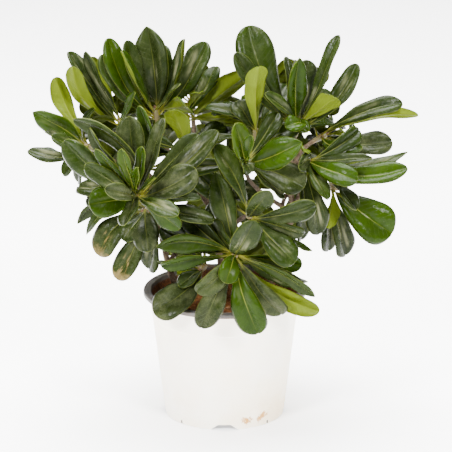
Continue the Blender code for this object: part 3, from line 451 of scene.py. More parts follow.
# What the hidden leaves stay inside, as seen from the front
HIDDEN_OUTLINE = (
    (-126, 190), (-134, 240), (-112, 292), (-60, 306), (-10, 300), (2, 282), (28, 284),
    (48, 296), (76, 294), (104, 268), (122, 244), (122, 212), (92, 190), (66, 150),
    (52, 118), (-20, 108), (-52, 132), (-66, 140), (-92, 168),
)


def quadratic(start, control, end, t):
    """A point on the curve from start to end that is pulled towards control."""
    return start * (1 - t) ** 2 + control * (2 * t * (1 - t)) + end * t ** 2


def quadratic_slope(start, control, end, t):
    """The direction of that curve."""
    return ((control - start) * (1 - t) + (end - control) * t).normalized()


def around(aside, other, turn):
    """The direction that is turned from aside towards other."""
    return aside * math.cos(turn) + other * math.sin(turn)


def held(value):
    """A value held between 0 and 1."""
    return min(1.0, max(0.0, value))


def ring_of(vert, rings):
    """The ring of a unit sphere that a point is on, counted up from its lowest point."""
    return round(math.acos(max(-1.0, min(1.0, -vert.co.z))) / math.pi * rings)


def blade_outline(t, width, pointed):
    """Half the width of the blade's outline: a long wedge and a rounded or pointed end."""
    along = max(0.0, (t - BLADE_START) / (1.0 - BLADE_START))
    fall, blunt, peak = POINTED_OUTLINE if pointed else ROUND_OUTLINE
    return along ** OUTLINE_RISE * (1.0 - along ** fall) ** blunt / peak * width / 2


def blade_half_width(t, width, pointed):
    """Half the leaf's width, nowhere slimmer than its petiole."""
    return max(PETIOLE_HALF_WIDTH, blade_outline(t, width, pointed))


class Leaf:
    """A leaf from its root in the shoot to its tip, along a curved spine."""

    def __init__(self, root, tip, upper, width, bulge, fold, pointed, stations):
        root = root - (tip - root).normalized() * ROOT_OVERSHOOT
        self.root = root
        self.tip = tip
        self.right = (tip - root).cross(upper).normalized()
        self.width = width
        self.control = (root + tip) / 2 + bulge * 2
        self.fold = math.radians(fold)
        self.pointed = pointed
        self.stations = stations

    def length(self):
        return (self.tip - self.root).length

    def spine(self, t):
        """The spine's point at t, and which way is right and upper there."""
        slope = quadratic_slope(self.root, self.control, self.tip, t)
        right = (self.right - slope * self.right.dot(slope)).normalized()
        return quadratic(self.root, self.control, self.tip, t), right, right.cross(slope)

    def section(self, t, swell=0.0):
        """The leaf at t: its left and right edge, and the keel under its midrib."""
        point, right, upper = self.spine(t)
        half = blade_half_width(t, self.width, self.pointed)
        reach = right * (half * math.cos(self.fold) + swell)
        rise = upper * (half * math.sin(self.fold) + BLADE_THICKNESS * 0.3 + swell)
        keel = upper * (BLADE_THICKNESS * 0.7 + swell)
        return point - reach + rise, point + reach + rise, point - keel

    def mesh(self, swell=0.0, start=0.0):
        """The leaf as a solid: a three-sided sphere of a few rings, drawn out along the spine."""
        last = len(self.stations) - 1
        shape = bmesh.new()
        bmesh.ops.create_uvsphere(shape, u_segments=3, v_segments=last, radius=1.0)
        places = {}
        for vert in shape.verts:
            turn = math.atan2(vert.co.y, vert.co.x)
            places[vert] = (ring_of(vert, last), round(turn / (math.pi * 2 / 3)) % 3)
        for vert, (ring, corner) in places.items():
            t = start + (1.0 - start) * self.stations[ring]
            if 0 < ring < last:
                vert.co = self.section(t, swell)[corner]
            else:
                vert.co = quadratic(self.root, self.control, self.tip, t)
        for face in list(shape.faces):
            if len(face.verts) == 4:
                corners = sorted(face.verts, key=lambda v: (places[v][0], places[v][1]))
                bmesh.utils.face_split(face, corners[0], corners[3])
        return shape


def shoot_end(shoot):
    return seen(*shoot.centre)


def shoot_axis(shoot):
    return Vector(shoot.axis).normalized()


def hand_placed_leaf(shoot, number, push, slimness):
    """A leaf from the lists above; push moves its tip and middle along the line of sight."""
    across, up, behind, width, shows, arch, sweep, fold = shoot.leaves[number][:8]
    pointed = POINTED in shoot.leaves[number]
    axis = shoot_axis(shoot)
    root = shoot_end(shoot) - axis * root_depth(number, len(shoot.leaves))
    tip = seen(across, up, shoot.centre[2] + behind - push[0])
    chord = (tip - root).normalized()
    square = (TO_VIEWER - chord * TO_VIEWER.dot(chord)).normalized()
    aside = chord.cross(square)
    lean = math.copysign(math.sqrt(1.0 - shows * shows), aside.dot(axis))
    upper = square * shows + aside * lean
    bulge = square * math.copysign(arch, shows) + aside * sweep + TO_VIEWER * push[1] / 2
    leaf = Leaf(root, tip, upper, width * slimness, bulge, fold, pointed, BLADE_STATIONS)
    leaf.look = LOOKS.get((across, up), "plain")
    leaf.seed = shoot.name + str(number)
    return leaf


def root_depth(number, count):
    """How far below the shoot's end a leaf grows: the outer leaves are the lowest."""
    return 1.5 + (SHOOT_LENGTH - 4.0) * (1.0 - number / max(1, count - 1))


def hidden_leaf(shoot, number, push, shrink, more_turn):
    """A leaf of the hidden side, turned by the golden angle from the one before it."""
    draw = random.Random(shoot.name + str(number))
    axis = shoot_axis(shoot)
    aside = axis.orthogonal().normalized()
    other = axis.cross(aside)
    turn = number * GOLDEN_ANGLE + draw.uniform(-0.25, 0.25) + more_turn
    youth = number / shoot.hidden
    spread = math.radians(HIDDEN_LEAN - LEAN_LOST * youth + draw.uniform(-8.0, 8.0))
    length = (HIDDEN_LENGTH - LENGTH_LOST * youth) * draw.uniform(0.9, 1.1) * shrink
    way = around(axis, around(aside, other, turn), spread)
    root = shoot_end(shoot) - axis * root_depth(number, shoot.hidden)
    tip = root + way.normalized() * length
    tip.z -= draw.uniform(2.0, 10.0)
    tip += TO_VIEWER * push[0]
    chord = (tip - root).normalized()
    upper = (axis - chord * axis.dot(chord)).normalized()
    width = (HIDDEN_WIDTH - WIDTH_LOST * youth) * draw.uniform(0.85, 1.12)
    bulge = upper * draw.uniform(4.0, 9.0) + chord.cross(upper) * draw.uniform(-3.0, 3.0)
    bulge += TO_VIEWER * push[1] / 2
    fold = draw.uniform(4.0, 16.0)
    leaf = Leaf(root, tip, upper, width, bulge, fold, False, HIDDEN_BLADE_STATIONS)
    leaf.look = "hidden"
    leaf.seed = "hidden " + shoot.name + str(number)
    return leaf


def inside_outline(point):
    """Whether a point is seen within the outline that hides the back of the plant."""
    across, up = as_seen(point)
    inside = False
    for (x1, y1), (x2, y2) in zip(HIDDEN_OUTLINE, HIDDEN_OUTLINE[1:] + HIDDEN_OUTLINE[:1]):
        if (y1 > up) != (y2 > up) and across < x1 + (up - y1) / (y2 - y1) * (x2 - x1):
            inside = not inside
    return inside


class Obstacles:
    """The surfaces that a new leaf is kept clear of."""

    def __init__(self):
        self.solids = []
        self.glimpses = []

    def add(self, shape, owner=None, outer=None):
        """Adds a shape, and for a leaf the outer part that its own shoot's leaves stay off."""
        whole = surface_tree(shape)
        self.solids.append((owner, whole, surface_tree(outer) if outer else whole))

    def add_glimpse(self, shape):
        self.glimpses.append(surface_tree(shape))

    def blocks(self, leaf, owner):
        """Whether a leaf would touch anything, with a margin."""
        whole = surface_tree(leaf.mesh(MARGIN))
        outer = surface_tree(leaf.mesh(MARGIN, ROOT_SHARE))
        for other_owner, other_whole, other_outer in self.solids:
            if other_owner == owner:
                if touching(outer, other_outer):
                    return True
            elif touching(whole, other_whole):
                return True
        return False

    def darkens(self, leaf):
        """Whether a leaf would stand in one of the glimpses of light."""
        whole = surface_tree(leaf.mesh())
        return any(touching(whole, glimpse) for glimpse in self.glimpses)


def rod(shape, start, end, first_radius, last_radius, sides=6):
    """Adds a straight, round-section rod to a bmesh."""
    way = end - start
    made = bmesh.ops.create_cone(
        shape, cap_ends=True, segments=sides,
        radius1=first_radius, radius2=last_radius, depth=way.length,
    )
    turn = Vector((0, 0, 1)).rotation_difference(way).to_matrix()
    bmesh.ops.rotate(shape, matrix=turn, verts=made["verts"])
    bmesh.ops.translate(shape, vec=(start + end) / 2, verts=made["verts"])


def rods(path, first_radius, last_radius):
    """Straight rods from point to point along a path, as the space that a branch takes."""
    shape = bmesh.new()
    for number, (start, end) in enumerate(zip(path, path[1:])):
        share = number / (len(path) - 1)
        radius = first_radius + (last_radius - first_radius) * share
        rod(shape, start, end, radius, radius)
    return shape


def pot_space():
    """The pot and its soil as two plain solids: the tapered body and the lip."""
    shape = bmesh.new()
    under_lip = Vector((0.0, 0.0, POT_HEIGHT - LIP_DEPTH))
    rod(shape, Vector(), under_lip, FOOT_RADIUS, SHOULDER_RADIUS, POT_SIDES)
    rod(shape, under_lip, Vector((0.0, 0.0, POT_HEIGHT)), LIP_RADIUS, LIP_RADIUS, POT_SIDES)
    return shape


def surface_tree(shape):
    """The lowest corner, highest corner and search tree of a bmesh, which is then freed."""
    low = Vector(min(v.co[i] for v in shape.verts) for i in range(3))
    high = Vector(max(v.co[i] for v in shape.verts) for i in range(3))
    tree = BVHTree.FromBMesh(shape)
    shape.free()
    return low, high, tree


def touching(one, other):
    """Whether two surfaces, as surface_tree gives them, cross anywhere."""
    if any(one[1][i] < other[0][i] or other[1][i] < one[0][i] for i in range(3)):
        return False
    return bool(one[2].overlap(other[2]))


def pushes():
    """The ways to bend a leaf clear, from the smallest: its tip's and its middle's shift."""
    ways = [(tip, middle) for tip in range(-24, 21, 4) for middle in range(-15, 16, 5)]
    return sorted(ways, key=lambda way: (abs(way[0]) + abs(way[1]), way))


def place_leaves(obstacles):
    """Every shoot's leaves, bent clear of each other: those listed come first."""
    placed = {shoot.name: [] for shoot in SHOOTS}
    ways = pushes()
    for shoot in SHOOTS:
        for number in range(len(shoot.leaves)):
            tries = (
                hand_placed_leaf(shoot, number, way, slimness)
                for slimness in SLIMMER
                for way in ways
            )
            leaf = first_clear(tries, obstacles, shoot.name)
            keep_leaf(leaf, shoot, placed, obstacles, "by hand", number)
    for shoot in SHOOTS:
        for number in range(shoot.hidden):
            tries = (
                hidden_leaf(shoot, number, way, shrink, more_turn)
                for shrink in SHORTER
                for more_turn in TURNS
                for way in ways[:HIDDEN_PUSHES]
            )
            hidden = (leaf for leaf in tries if is_hidden(leaf, obstacles))
            leaf = first_clear(hidden, obstacles, shoot.name)
            keep_leaf(leaf, shoot, placed, obstacles, "hidden", number)
    return placed


def is_hidden(leaf, obstacles):
    """Whether a leaf stays behind the listed leaves, and lets the glimpses through."""
    if leaf.tip.y < 6.0 and (leaf.tip - leaf.root).dot(TO_VIEWER) > 0.0:
        return False
    if not inside_outline(leaf.tip) or not inside_outline(leaf.section(0.6)[0]):
        return False
    return not obstacles.darkens(leaf)


def first_clear(leaves, obstacles, owner):
    """The first leaf that nothing blocks, or None."""
    for leaf in leaves:
        if not obstacles.blocks(leaf, owner):
            return leaf
    return None


def keep_leaf(leaf, shoot, placed, obstacles, kind, number):
    """Adds a placed leaf to its shoot and to what the next leaves are kept clear of."""
    if leaf is None:
        print("no room for leaf", number, kind, "on", shoot.name)
        return
    placed[shoot.name].append(leaf)
    obstacles.add(leaf.mesh(), shoot.name, leaf.mesh(0.0, ROOT_SHARE))


def wall_radius(z):
    """The pot's outer radius at a height: two straight tapers that meet at the stacking ledge."""
    if z <= LEDGE_HEIGHT:
        return FOOT_RADIUS + (LEDGE_RADIUS - FOOT_RADIUS) * z / LEDGE_HEIGHT
    above = (z - LEDGE_HEIGHT) / (POT_HEIGHT - LIP_DEPTH - LEDGE_HEIGHT)
    return LEDGE_RADIUS + LEDGE_STEP + (SHOULDER_RADIUS - LEDGE_RADIUS - LEDGE_STEP) * above


def smooth_path(points, steps):
    """Points on a curve through the given points."""
    path = []
    padded = [points[0] * 2 - points[1]] + points + [points[-1] * 2 - points[-2]]
    for before, start, end, after in zip(padded, padded[1:], padded[2:], padded[3:]):
        for step in range(steps):
            t = step / steps
            path.append(
                0.5 * (
                    2 * start + (end - before) * t
                    + (2 * before - 5 * start + 4 * end - after) * t ** 2
                    + (3 * start - before - 3 * end + after) * t ** 3
                )
            )
    return path + [points[-1]]


def stem_path(points):
    """The stem's foot goes straight down into its hole, and its top leans through the points."""
    foot = Vector((points[0][0], points[0][1], ROOT_END))
    return [foot] + smooth_path([Vector(point) for point in points], 3)


def branch_path(shoot):
    """From the stem at the fork's height to the lower end of the shoot."""
    stem = stem_path(STEMS[shoot.stem])
    start = next(
        low.lerp(high, (shoot.fork - low.z) / (high.z - low.z))
        for low, high in zip(stem, stem[1:])
        if low.z <= shoot.fork <= high.z
    )
    axis = shoot_axis(shoot)
    end = shoot_end(shoot) - axis * (SHOOT_LENGTH + GAP)
    bend = end - axis * 3.0
    control = bend - axis * (bend - start).length * 0.45
    return [quadratic(start, control, bend, step / 3) for step in range(4)] + [end]


def shoot_mesh(shoot):
    """The green end of a shoot: a short, thick knuckle that the leaves grow from."""
    end = shoot_end(shoot)
    start = end - shoot_axis(shoot) * SHOOT_LENGTH
    shape = bmesh.new()
    rod(shape, start, end, SHOOT_RADIUS * 0.8, SHOOT_RADIUS, 5)
    return shape


def glimpse_shape(across, up, half_width, half_height):
    """A bar along the line of sight through a glimpse of light."""
    shape = bmesh.new()
    bmesh.ops.create_cube(shape, size=2.0)
    for vert in shape.verts:
        x, y, z = vert.co
        vert.co = seen(across + x * half_width, up + z * half_height, y * 200.0)
    return shape


def fill_obstacles():
    """The pot, the wood, the shoots' ends and the glimpses, before any leaf is placed."""
    obstacles = Obstacles()
    obstacles.add(pot_space())
    for points in STEMS.values():
        obstacles.add(rods(stem_path(points), STEM_RADIUS, BRANCH_RADIUS))
    for shoot in SHOOTS:
        obstacles.add(rods(branch_path(shoot), BRANCH_RADIUS, BRANCH_END_RADIUS))
        obstacles.add(shoot_mesh(shoot), shoot.name)
    for glimpse in GLIMPSES:
        obstacles.add_glimpse(glimpse_shape(*glimpse))
    return obstacles


# The fine leaves


def fine_half_width(leaf, t):
    """Half the leaf's width, closed to a round end at the tip."""
    half_width = blade_half_width if t < 0.5 else blade_outline
    return half_width(t, leaf.width, leaf.pointed)


def blade_row(leaf, t):
    """What the points of one row across a leaf share: the spine waves, twists and nods."""
    point, right, upper = leaf.spine(t)
    turned = leaf.twist * (t - 0.35) * min(1.0, t * 3.0)
    right, upper = around(right, upper, turned), around(upper, -right, turned)
    free = math.sin(min(1.0, t * 1.1) * math.pi)
    point = point + upper * (SPINE_WAVE * free * math.sin(leaf.ripple + t * 7.0))
    point = point - upper * (leaf.nod * max(0.0, (t - 0.6) / 0.4) ** 2)
    return point, right, upper, fine_half_width(leaf, t)


def round_share(reach, power=2):
    """The height of a round rod or edge of height 1 at a share of the way to its side."""
    return math.sqrt(max(0.0, 1.0 - reach ** power))


def blade_height(leaf, across, t, half, side):
    """How high a point of the leaf stands over its spine; side is 1 on top and -1 underneath."""
    blade = 1.0 if t > 0.5 else held((half - PETIOLE_HALF_WIDTH) / 3.0)
    reach = abs(across)
    from_midrib = reach * half / MIDRIB_REACH
    midrib = math.exp(-from_midrib * from_midrib)
    rise = half * math.sin(leaf.fold + leaf.cup) + MIDRIB_SINK
    swell = math.sin(min(1.0, reach * 1.25) * math.pi / 2)
    curl = MARGIN_CURL * reach ** 5 * half / 10.0
    turn = leaf.ripple + (5.0 + leaf.ripple % 2.0) * t * 2.4
    ripple = MARGIN_WAVE * reach ** 3 * math.sin(turn + math.copysign(1.3, across))
    fade = held((1.0 - t) * 6.0) * min(1.0, half / 6.0)
    sheet = -MIDRIB_SINK + rise * swell - curl + ripple * fade
    thick = BLADE_HALF_THICKNESS * round_share(reach, 6)
    if side > 0:
        upper = sheet + thick - 0.12 * midrib
        petiole = PETIOLE_HALF_WIDTH * 0.8 * round_share(across)
        return petiole * (1.0 - blade) + upper * blade
    under = sheet - thick - 0.55 * midrib * min(1.0, (1.0 - t) * 1.6)
    petiole = -PETIOLE_HALF_WIDTH * 1.2 * round_share(across)
    return petiole * (1.0 - blade) + under * blade


def draw_leaf(shape, leaf):
    """Adds one leaf: an upper and an under sheet that meet all round the margin."""
    surface = shape.loops.layers.uv["surface"]
    growth = shape.loops.layers.float_color["growth"]
    place = shape.loops.layers.float_color["place"]
    length = leaf.length()
    youth, dust, scars = YOUTH_DUST_SCARS[leaf.look]
    draw = random.Random(leaf.seed)
    youth = held(youth + draw.uniform(-0.12, 0.12))
    leaf.ripple = draw.uniform(0.0, 6.0)
    leaf.cup = draw.uniform(0.03, 0.22)
    leaf.twist = draw.uniform(-0.4, 0.4)
    leaf.nod = draw.uniform(0.0, 4.0 if leaf.look == "hidden" else 1.6)
    rows = {}
    rim = []
    for side in (1, -1):
        made = bmesh.ops.create_grid(
            shape, x_segments=BLADE_COLUMNS, y_segments=BLADE_ROWS, size=1.0
        )
        spots = {}
        for vert in made["verts"]:
            across = round(vert.co.x, 4)
            along = round((vert.co.y + 1.0) / 2, 4)
            if along not in rows:
                t = 1.0 - (1.0 - along) ** BLADE_CROWDING
                rows[along] = (t, *blade_row(leaf, t))
            t, point, right, upper, half = rows[along]
            height = blade_height(leaf, across, t, half, side)
            if along in (0.0, 1.0):
                height = -MIDRIB_SINK if along else 0.0
            vert.co = point + right * (across * half * math.cos(leaf.fold)) + upper * height
            spots[vert] = (across, t, half)
            if abs(across) > 0.999 or along in (0.0, 1.0):
                rim.append(vert)
        faces = {face for vert in made["verts"] for face in vert.link_faces}
        for loop in (loop for face in faces for loop in face.loops):
            across, t, half = spots[loop.vert]
            to_margin = min(half * (1.0 - abs(across)), (1.0 - t) * length)
            loop[surface].uv = (across * half, t * length)
            loop[growth] = (youth, dust, scars, 1.0)
            loop[place] = (max(0.0, to_margin) / MARGIN_UNIT, t, 0.0 if side > 0 else 1.0, 1.0)
        if side < 0:
            bmesh.ops.reverse_faces(shape, faces=list(faces))
    bmesh.ops.remove_doubles(shape, verts=rim, dist=SEAM)


def draw_bud(shape, shoot):
    """Adds the shoot's green end, ringed by the scars of old leaves, and its bud of scales."""
    axis = shoot_axis(shoot)
    end = shoot_end(shoot)
    start = end - axis * (SHOOT_LENGTH + 2.0)
    aside = axis.orthogonal().normalized()
    other = axis.cross(aside)
    ring = tube(shape, 20, 17)
    widens = SHOOT_RADIUS - BRANCH_END_RADIUS
    for vert, (along, turn, pole) in ring.items():
        radius = BRANCH_END_RADIUS * 1.05 + widens * min(1.0, along * 1.6)
        radius += 0.16 * math.sin(along * 40.0 + turn * 2.0)
        if along > 0.93:
            radius *= 0.8
        way = around(aside, other, turn)
        vert.co = start.lerp(end, along) + way * (0.0 if pole else radius)
    paint(ring, 1)
    for number in range(BUD_SCALES):
        turn = number * GOLDEN_ANGLE
        share = number / (BUD_SCALES - 1)
        made = bmesh.ops.create_uvsphere(shape, u_segments=8, v_segments=6, radius=1.0)
        way = around(aside, other, turn)
        across = axis.cross(way)
        height = 3.4 - 0.8 * share
        for vert in made["verts"]:
            x, y, z = vert.co
            up = (z + 1.0) / 2
            slim = 1.0 - 0.75 * up * up
            out = (1.25 - 0.9 * share) * (1.0 - 0.7 * up)
            vert.co = (
                end + axis * (up * height - 0.6 + share * 0.9) + across * (x * 1.15 * slim)
                + way * (out + y * 0.42 * slim)
            )
        paint(made["verts"], 2)


def paint(verts, slot):
    """Gives the faces on these points the material in a slot."""
    for face in {face for vert in verts for face in vert.link_faces}:
        face.material_index = slot


def tube(shape, sides, rings):
    """Adds a closed tube; gives each point's share of the length, its turn and if it is a pole."""
    made = bmesh.ops.create_uvsphere(shape, u_segments=sides, v_segments=rings + 1, radius=1.0)
    places = {}
    for vert in made["verts"]:
        ring = ring_of(vert, rings + 1)
        along = held((ring - 1) / (rings - 1))
        places[vert] = (along, math.atan2(vert.co.y, vert.co.x), ring in (0, rings + 1))
    return places


def build_foliage(shoot, leaves):
    """One shoot: its leaves, its green end and its bud."""
    shape = bmesh.new()
    shape.loops.layers.uv.new("surface")
    shape.loops.layers.float_color.new("growth")
    shape.loops.layers.float_color.new("place")
    for leaf in leaves:
        draw_leaf(shape, leaf)
    draw_bud(shape, shoot)
    piece = finished("shoot_" + shoot.name, shape, "leaf", "green_wood", "bud_scale")
    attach(piece, "root")
    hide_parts("leaves_" + shoot.name)


def linked(name, data):
    """A new object of the scene."""
    piece = bpy.data.objects.new(name, data)
    bpy.context.scene.collection.objects.link(piece)
    return piece


def finished(name, shape, *finishes):
    """A smooth-shaded object in metres from a bmesh in millimetres, with its finishes."""
    bmesh.ops.scale(shape, vec=Vector((MM, MM, MM)), verts=shape.verts)
    mesh = bpy.data.meshes.new(name)
    shape.to_mesh(mesh)
    shape.free()
    mesh.shade_smooth()
    for finish in finishes:
        mesh.materials.append(FINISHES[finish])
    return linked(name, mesh)


# The fine pot, soil and stems


def turned_shape(points, closed):
    """A profile of (radius, height) points spun about the upright axis."""
    shape = bmesh.new()
    verts = [shape.verts.new((radius, 0.0, height)) for radius, height in points]
    edges = [shape.edges.new(pair) for pair in zip(verts, verts[1:])]
    if closed:
        edges.append(shape.edges.new((verts[-1], verts[0])))
    bmesh.ops.spin(
        shape, geom=verts + edges, cent=(0, 0, 0), axis=(0, 0, 1), angle=math.tau,
        steps=POT_STEPS, use_merge=True, use_duplicate=False,
    )
    bmesh.ops.remove_doubles(shape, verts=shape.verts, dist=0.001)
    bmesh.ops.recalc_face_normals(shape, faces=shape.faces)
    return shape


def rounded(points, sizes, steps=4):
    """A closed profile with its corners rounded; sizes gives each corner's cut-back."""
    path = []
    for number, (corner, size) in enumerate(zip(points, sizes)):
        corner = Vector(corner)
        before, after = Vector(points[number - 1]), Vector(points[(number + 1) % len(points)])
        if size <= 0.0:
            path.append(corner)
            continue
        start = corner + (before - corner).normalized() * size
        end = corner + (after - corner).normalized() * size
        path += [quadratic(start, corner, end, step / steps) for step in range(steps + 1)]
    return path


def block(shape, width_top, width_foot, top):
    """A wedge-sided block that cuts an opening in the foot."""
    made = bmesh.ops.create_cube(shape, size=1.0)
    for vert in made["verts"]:
        half = width_top / 2 if vert.co.z > 0 else width_foot / 2
        vert.co.x = math.copysign(half, vert.co.x)
        vert.co.y = -FOOT_RADIUS + vert.co.y * CUTTER_DEPTH
        vert.co.z = top if vert.co.z > 0 else -2.0
    return made["verts"]


def foot_cutters():
    """The arches, slits and drain holes as one set of cutting solids."""
    shape = bmesh.new()
    for quarter in range(4):
        turn = quarter * math.pi / 2
        between_arches = turn + math.pi / 4
        arch = block(shape, ARCH_TOP_WIDTH, ARCH_WIDTH + 4.0, ARCH_HEIGHT)
        slit = block(shape, SLIT_WIDTH, SLIT_WIDTH, SLIT_HEIGHT)
        drain = bmesh.ops.create_cone(
            shape, cap_ends=True, segments=32,
            radius1=DRAIN_RADIUS, radius2=DRAIN_RADIUS, depth=WALL + 4.0,
        )["verts"]
        bmesh.ops.translate(shape, verts=drain, vec=(DRAIN_CIRCLE, 0.0, BASE_LIFT + WALL / 2))
        for verts, angle in ((arch, turn), (slit, between_arches), (drain, between_arches)):
            about_z = Matrix.Rotation(angle, 3, "Z")
            bmesh.ops.rotate(shape, verts=verts, cent=(0, 0, 0), matrix=about_z)
    return shape


def build_pot():
    """The thermoformed pot: a flat rolled lip, a stacking step, a tapered wall, a notched foot."""
    under_lip = POT_HEIGHT - LIP_DEPTH
    base_top = BASE_LIFT + WALL
    foot_inner = FOOT_RADIUS - FOOT_RIM
    corners = (
        ((LIP_RADIUS - LIP_WIDTH, POT_HEIGHT), 0.9), ((LIP_RADIUS, POT_HEIGHT), 1.3),
        ((LIP_RADIUS, under_lip), 0.8), ((wall_radius(under_lip), under_lip), 0.5),
        ((wall_radius(LEDGE_TOP), LEDGE_TOP), 0.3), ((LEDGE_RADIUS, LEDGE_FOOT), 0.3),
        ((wall_radius(60.0), 60.0), 0.0), ((wall_radius(30.0), 30.0), 0.0),
        ((FOOT_RADIUS + 0.3, 3.0), 1.0), ((FOOT_RADIUS, 0.0), 0.4),
        ((foot_inner, 0.0), 0.4), ((foot_inner, BASE_LIFT), 1.0),
        ((0.0, BASE_LIFT), 0.0), ((0.0, base_top), 0.0),
        ((wall_radius(base_top) - WALL, base_top), 1.5), ((LEDGE_RADIUS - WALL, LEDGE_FOOT), 0.3),
        ((wall_radius(LEDGE_TOP) - WALL, LEDGE_TOP), 0.3),
        ((SHOULDER_RADIUS - WALL, under_lip), 0.5),
    )
    pot = finished("nursery_pot", turned_shape(rounded(*zip(*corners)), closed=True))
    knives = finished("foot_knives", foot_cutters())
    carve = pot.modifiers.new("openings", "BOOLEAN")
    carve.operation = "DIFFERENCE"
    carve.solver = "EXACT"
    carve.object = knives
    apply_modifiers(pot)
    bpy.data.objects.remove(knives)
    pot.data.shade_smooth()
    pot.data.set_sharp_from_angle(angle=math.radians(40))
    pot.data.materials.clear()
    pot.data.materials.append(FINISHES["pot_plastic"])
    pot.data.materials.append(FINISHES["pot_lining"])
    for face in pot.data.polygons:
        outward = face.normal.x * face.center.x + face.normal.y * face.center.y
        height = face.center.z / MM
        on_lip = height > under_lip - 0.2
        inside = height > base_top + 0.5 and outward < 0.0
        # The foot's underside, arches and slits get the dark lining as painted shade in these
        # recesses
        painted_shade_in_foot = height < BASE_LIFT + 0.2 and outward < 0.5 * FOOT_RADIUS * MM
        if on_lip or inside or painted_shade_in_foot:
            face.material_index = 1
    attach(pot, "root")
    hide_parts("pot")


def apply_modifiers(piece):
    """Replaces a piece's mesh by what its modifiers make of it."""
    graph = bpy.context.evaluated_depsgraph_get()
    mesh = bpy.data.meshes.new_from_object(piece.evaluated_get(graph))
    piece.modifiers.clear()
    piece.data = mesh


def soil_height(x, y):
    """The uneven top of the soil at a point."""
    share = min(1.0, math.hypot(x, y) / 60.0)
    dome = SOIL_TOP + SOIL_DOME * (1.0 - share ** 2)
    lumps = noise.noise(Vector((x, y, 0.0)) * 0.16) * 1.6
    lumps += noise.noise(Vector((x, y, 7.0)) * 0.5) * 0.8
    return dome + lumps


def draw_crumb(shape, draw, number):
    """Adds one crumb of soil, or after the last crumb a flat chip of bark, clear of the stems."""
    radius = CRUMB_CIRCLE * math.sqrt(draw.random())
    turn = draw.uniform(0.0, math.tau)
    x, y = radius * math.cos(turn), radius * math.sin(turn)
    if any(math.hypot(x - path[0][0], y - path[0][1]) < CLEAR_OF_STEM for path in STEMS.values()):
        return
    made = bmesh.ops.create_icosphere(shape, subdivisions=1, radius=1.0)
    size = draw.uniform(0.7, 1.9)
    stretch = (size, size * draw.uniform(0.6, 1.0), size * draw.uniform(0.4, 0.8))
    is_chip = number >= CRUMBS
    if is_chip:
        stretch = (draw.uniform(3.0, 5.5), draw.uniform(1.2, 2.2), draw.uniform(0.5, 0.9))
    spin = draw.uniform(0.0, math.pi)
    for vert in made["verts"]:
        rough = 1.0 + 0.35 * noise.noise(vert.co * 1.7 + Vector((number, 0.0, 0.0)))
        px, py, pz = (part * scale * rough for part, scale in zip(vert.co, stretch))
        vert.co = Vector((
            x + px * math.cos(spin) - py * math.sin(spin),
            y + px * math.sin(spin) + py * math.cos(spin),
            soil_height(x, y) + stretch[2] * 0.35 + pz + px * 0.08,
        ))
    paint(made["verts"], 1 if is_chip else 0)


def build_soil():
    """The plug of potting mix with a crumbly top and chips of bark lying on it."""
    floor = BASE_LIFT + WALL + GAP
    clearance = WALL + GAP
    edge = wall_radius(SOIL_TOP) - clearance - 0.2
    profile = [(edge * ring / SOIL_RINGS, SOIL_TOP) for ring in range(SOIL_RINGS + 1)]
    profile += [
        (wall_radius(LEDGE_TOP) - clearance, LEDGE_TOP), (LEDGE_RADIUS - clearance, LEDGE_FOOT),
        (wall_radius(floor) - clearance, floor), (0.0, floor),
    ]
    shape = turned_shape(profile, closed=False)
    for vert in shape.verts:
        if vert.co.z > SOIL_TOP - 0.5:
            at_edge = math.hypot(vert.co.x, vert.co.y) > edge - 0.5
            vert.co.z = soil_height(vert.co.x, vert.co.y) - (1.5 if at_edge else 0.0)
    draw = random.Random("crumbs")
    for number in range(CRUMBS + CHIPS):
        draw_crumb(shape, draw, number)
    soil = finished("potting_mix_top", shape, "potting_mix", "bark_chip")
    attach(soil, "root")
    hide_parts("soil")


def draw_branch(shape, path, first_radius, last_radius, seed):
    """Adds one round branch along a path, with slight knots where leaves once grew."""
    lengths = [0.0]
    for start, end in zip(path, path[1:]):
        lengths.append(lengths[-1] + (end - start).length)
    total = lengths[-1]
    aside = (path[1] - path[0]).orthogonal().normalized()
    frames = {}
    for vert, (along, turn, pole) in tube(shape, 14, max(8, int(total / RING_SPACING))).items():
        if along not in frames:
            goal = along * total
            number = max(i for i in range(len(path) - 1) if lengths[i] <= goal + 1e-6)
            share = (goal - lengths[number]) / (lengths[number + 1] - lengths[number])
            way = (path[number + 1] - path[number]).normalized()
            side = (aside - way * aside.dot(way)).normalized()
            point = path[number].lerp(path[number + 1], min(1.0, share))
            frames[along] = (point, side, way.cross(side), goal)
        point, side, other, goal = frames[along]
        radius = first_radius + (last_radius - first_radius) * along
        knot = noise.noise(Vector((goal * 0.11, seed, 0.0))) * 0.22
        knot += noise.noise(Vector((goal * 0.5, turn, seed))) * 0.12
        ringed = 0.09 * max(0.0, math.sin(goal * 0.9 + seed)) ** 3
        radius *= 1.0 + 0.5 * knot + ringed
        vert.co = point + around(side, other, turn) * (0.0 if pole else radius)


def build_stem(name, points):
    """A woody stem with its branches, as the fine form of the CAD stem."""
    shape = bmesh.new()
    foot = stem_path(points)[0]
    trunk = [foot] + smooth_path([Vector(point) for point in points], 8)
    draw_branch(shape, trunk, STEM_RADIUS, BRANCH_RADIUS, len(name))
    for number, shoot in enumerate(SHOOTS):
        if shoot.stem == name:
            path = smooth_path(branch_path(shoot), 5)
            draw_branch(shape, path, BRANCH_RADIUS, BRANCH_END_RADIUS, number + 3.3)
    stem = finished("wood_" + name, shape, "bark")
    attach(stem, "root")
    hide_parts("stem_" + name)


# The finishes. Their colours are linear red, green and blue; their sizes are in metres.

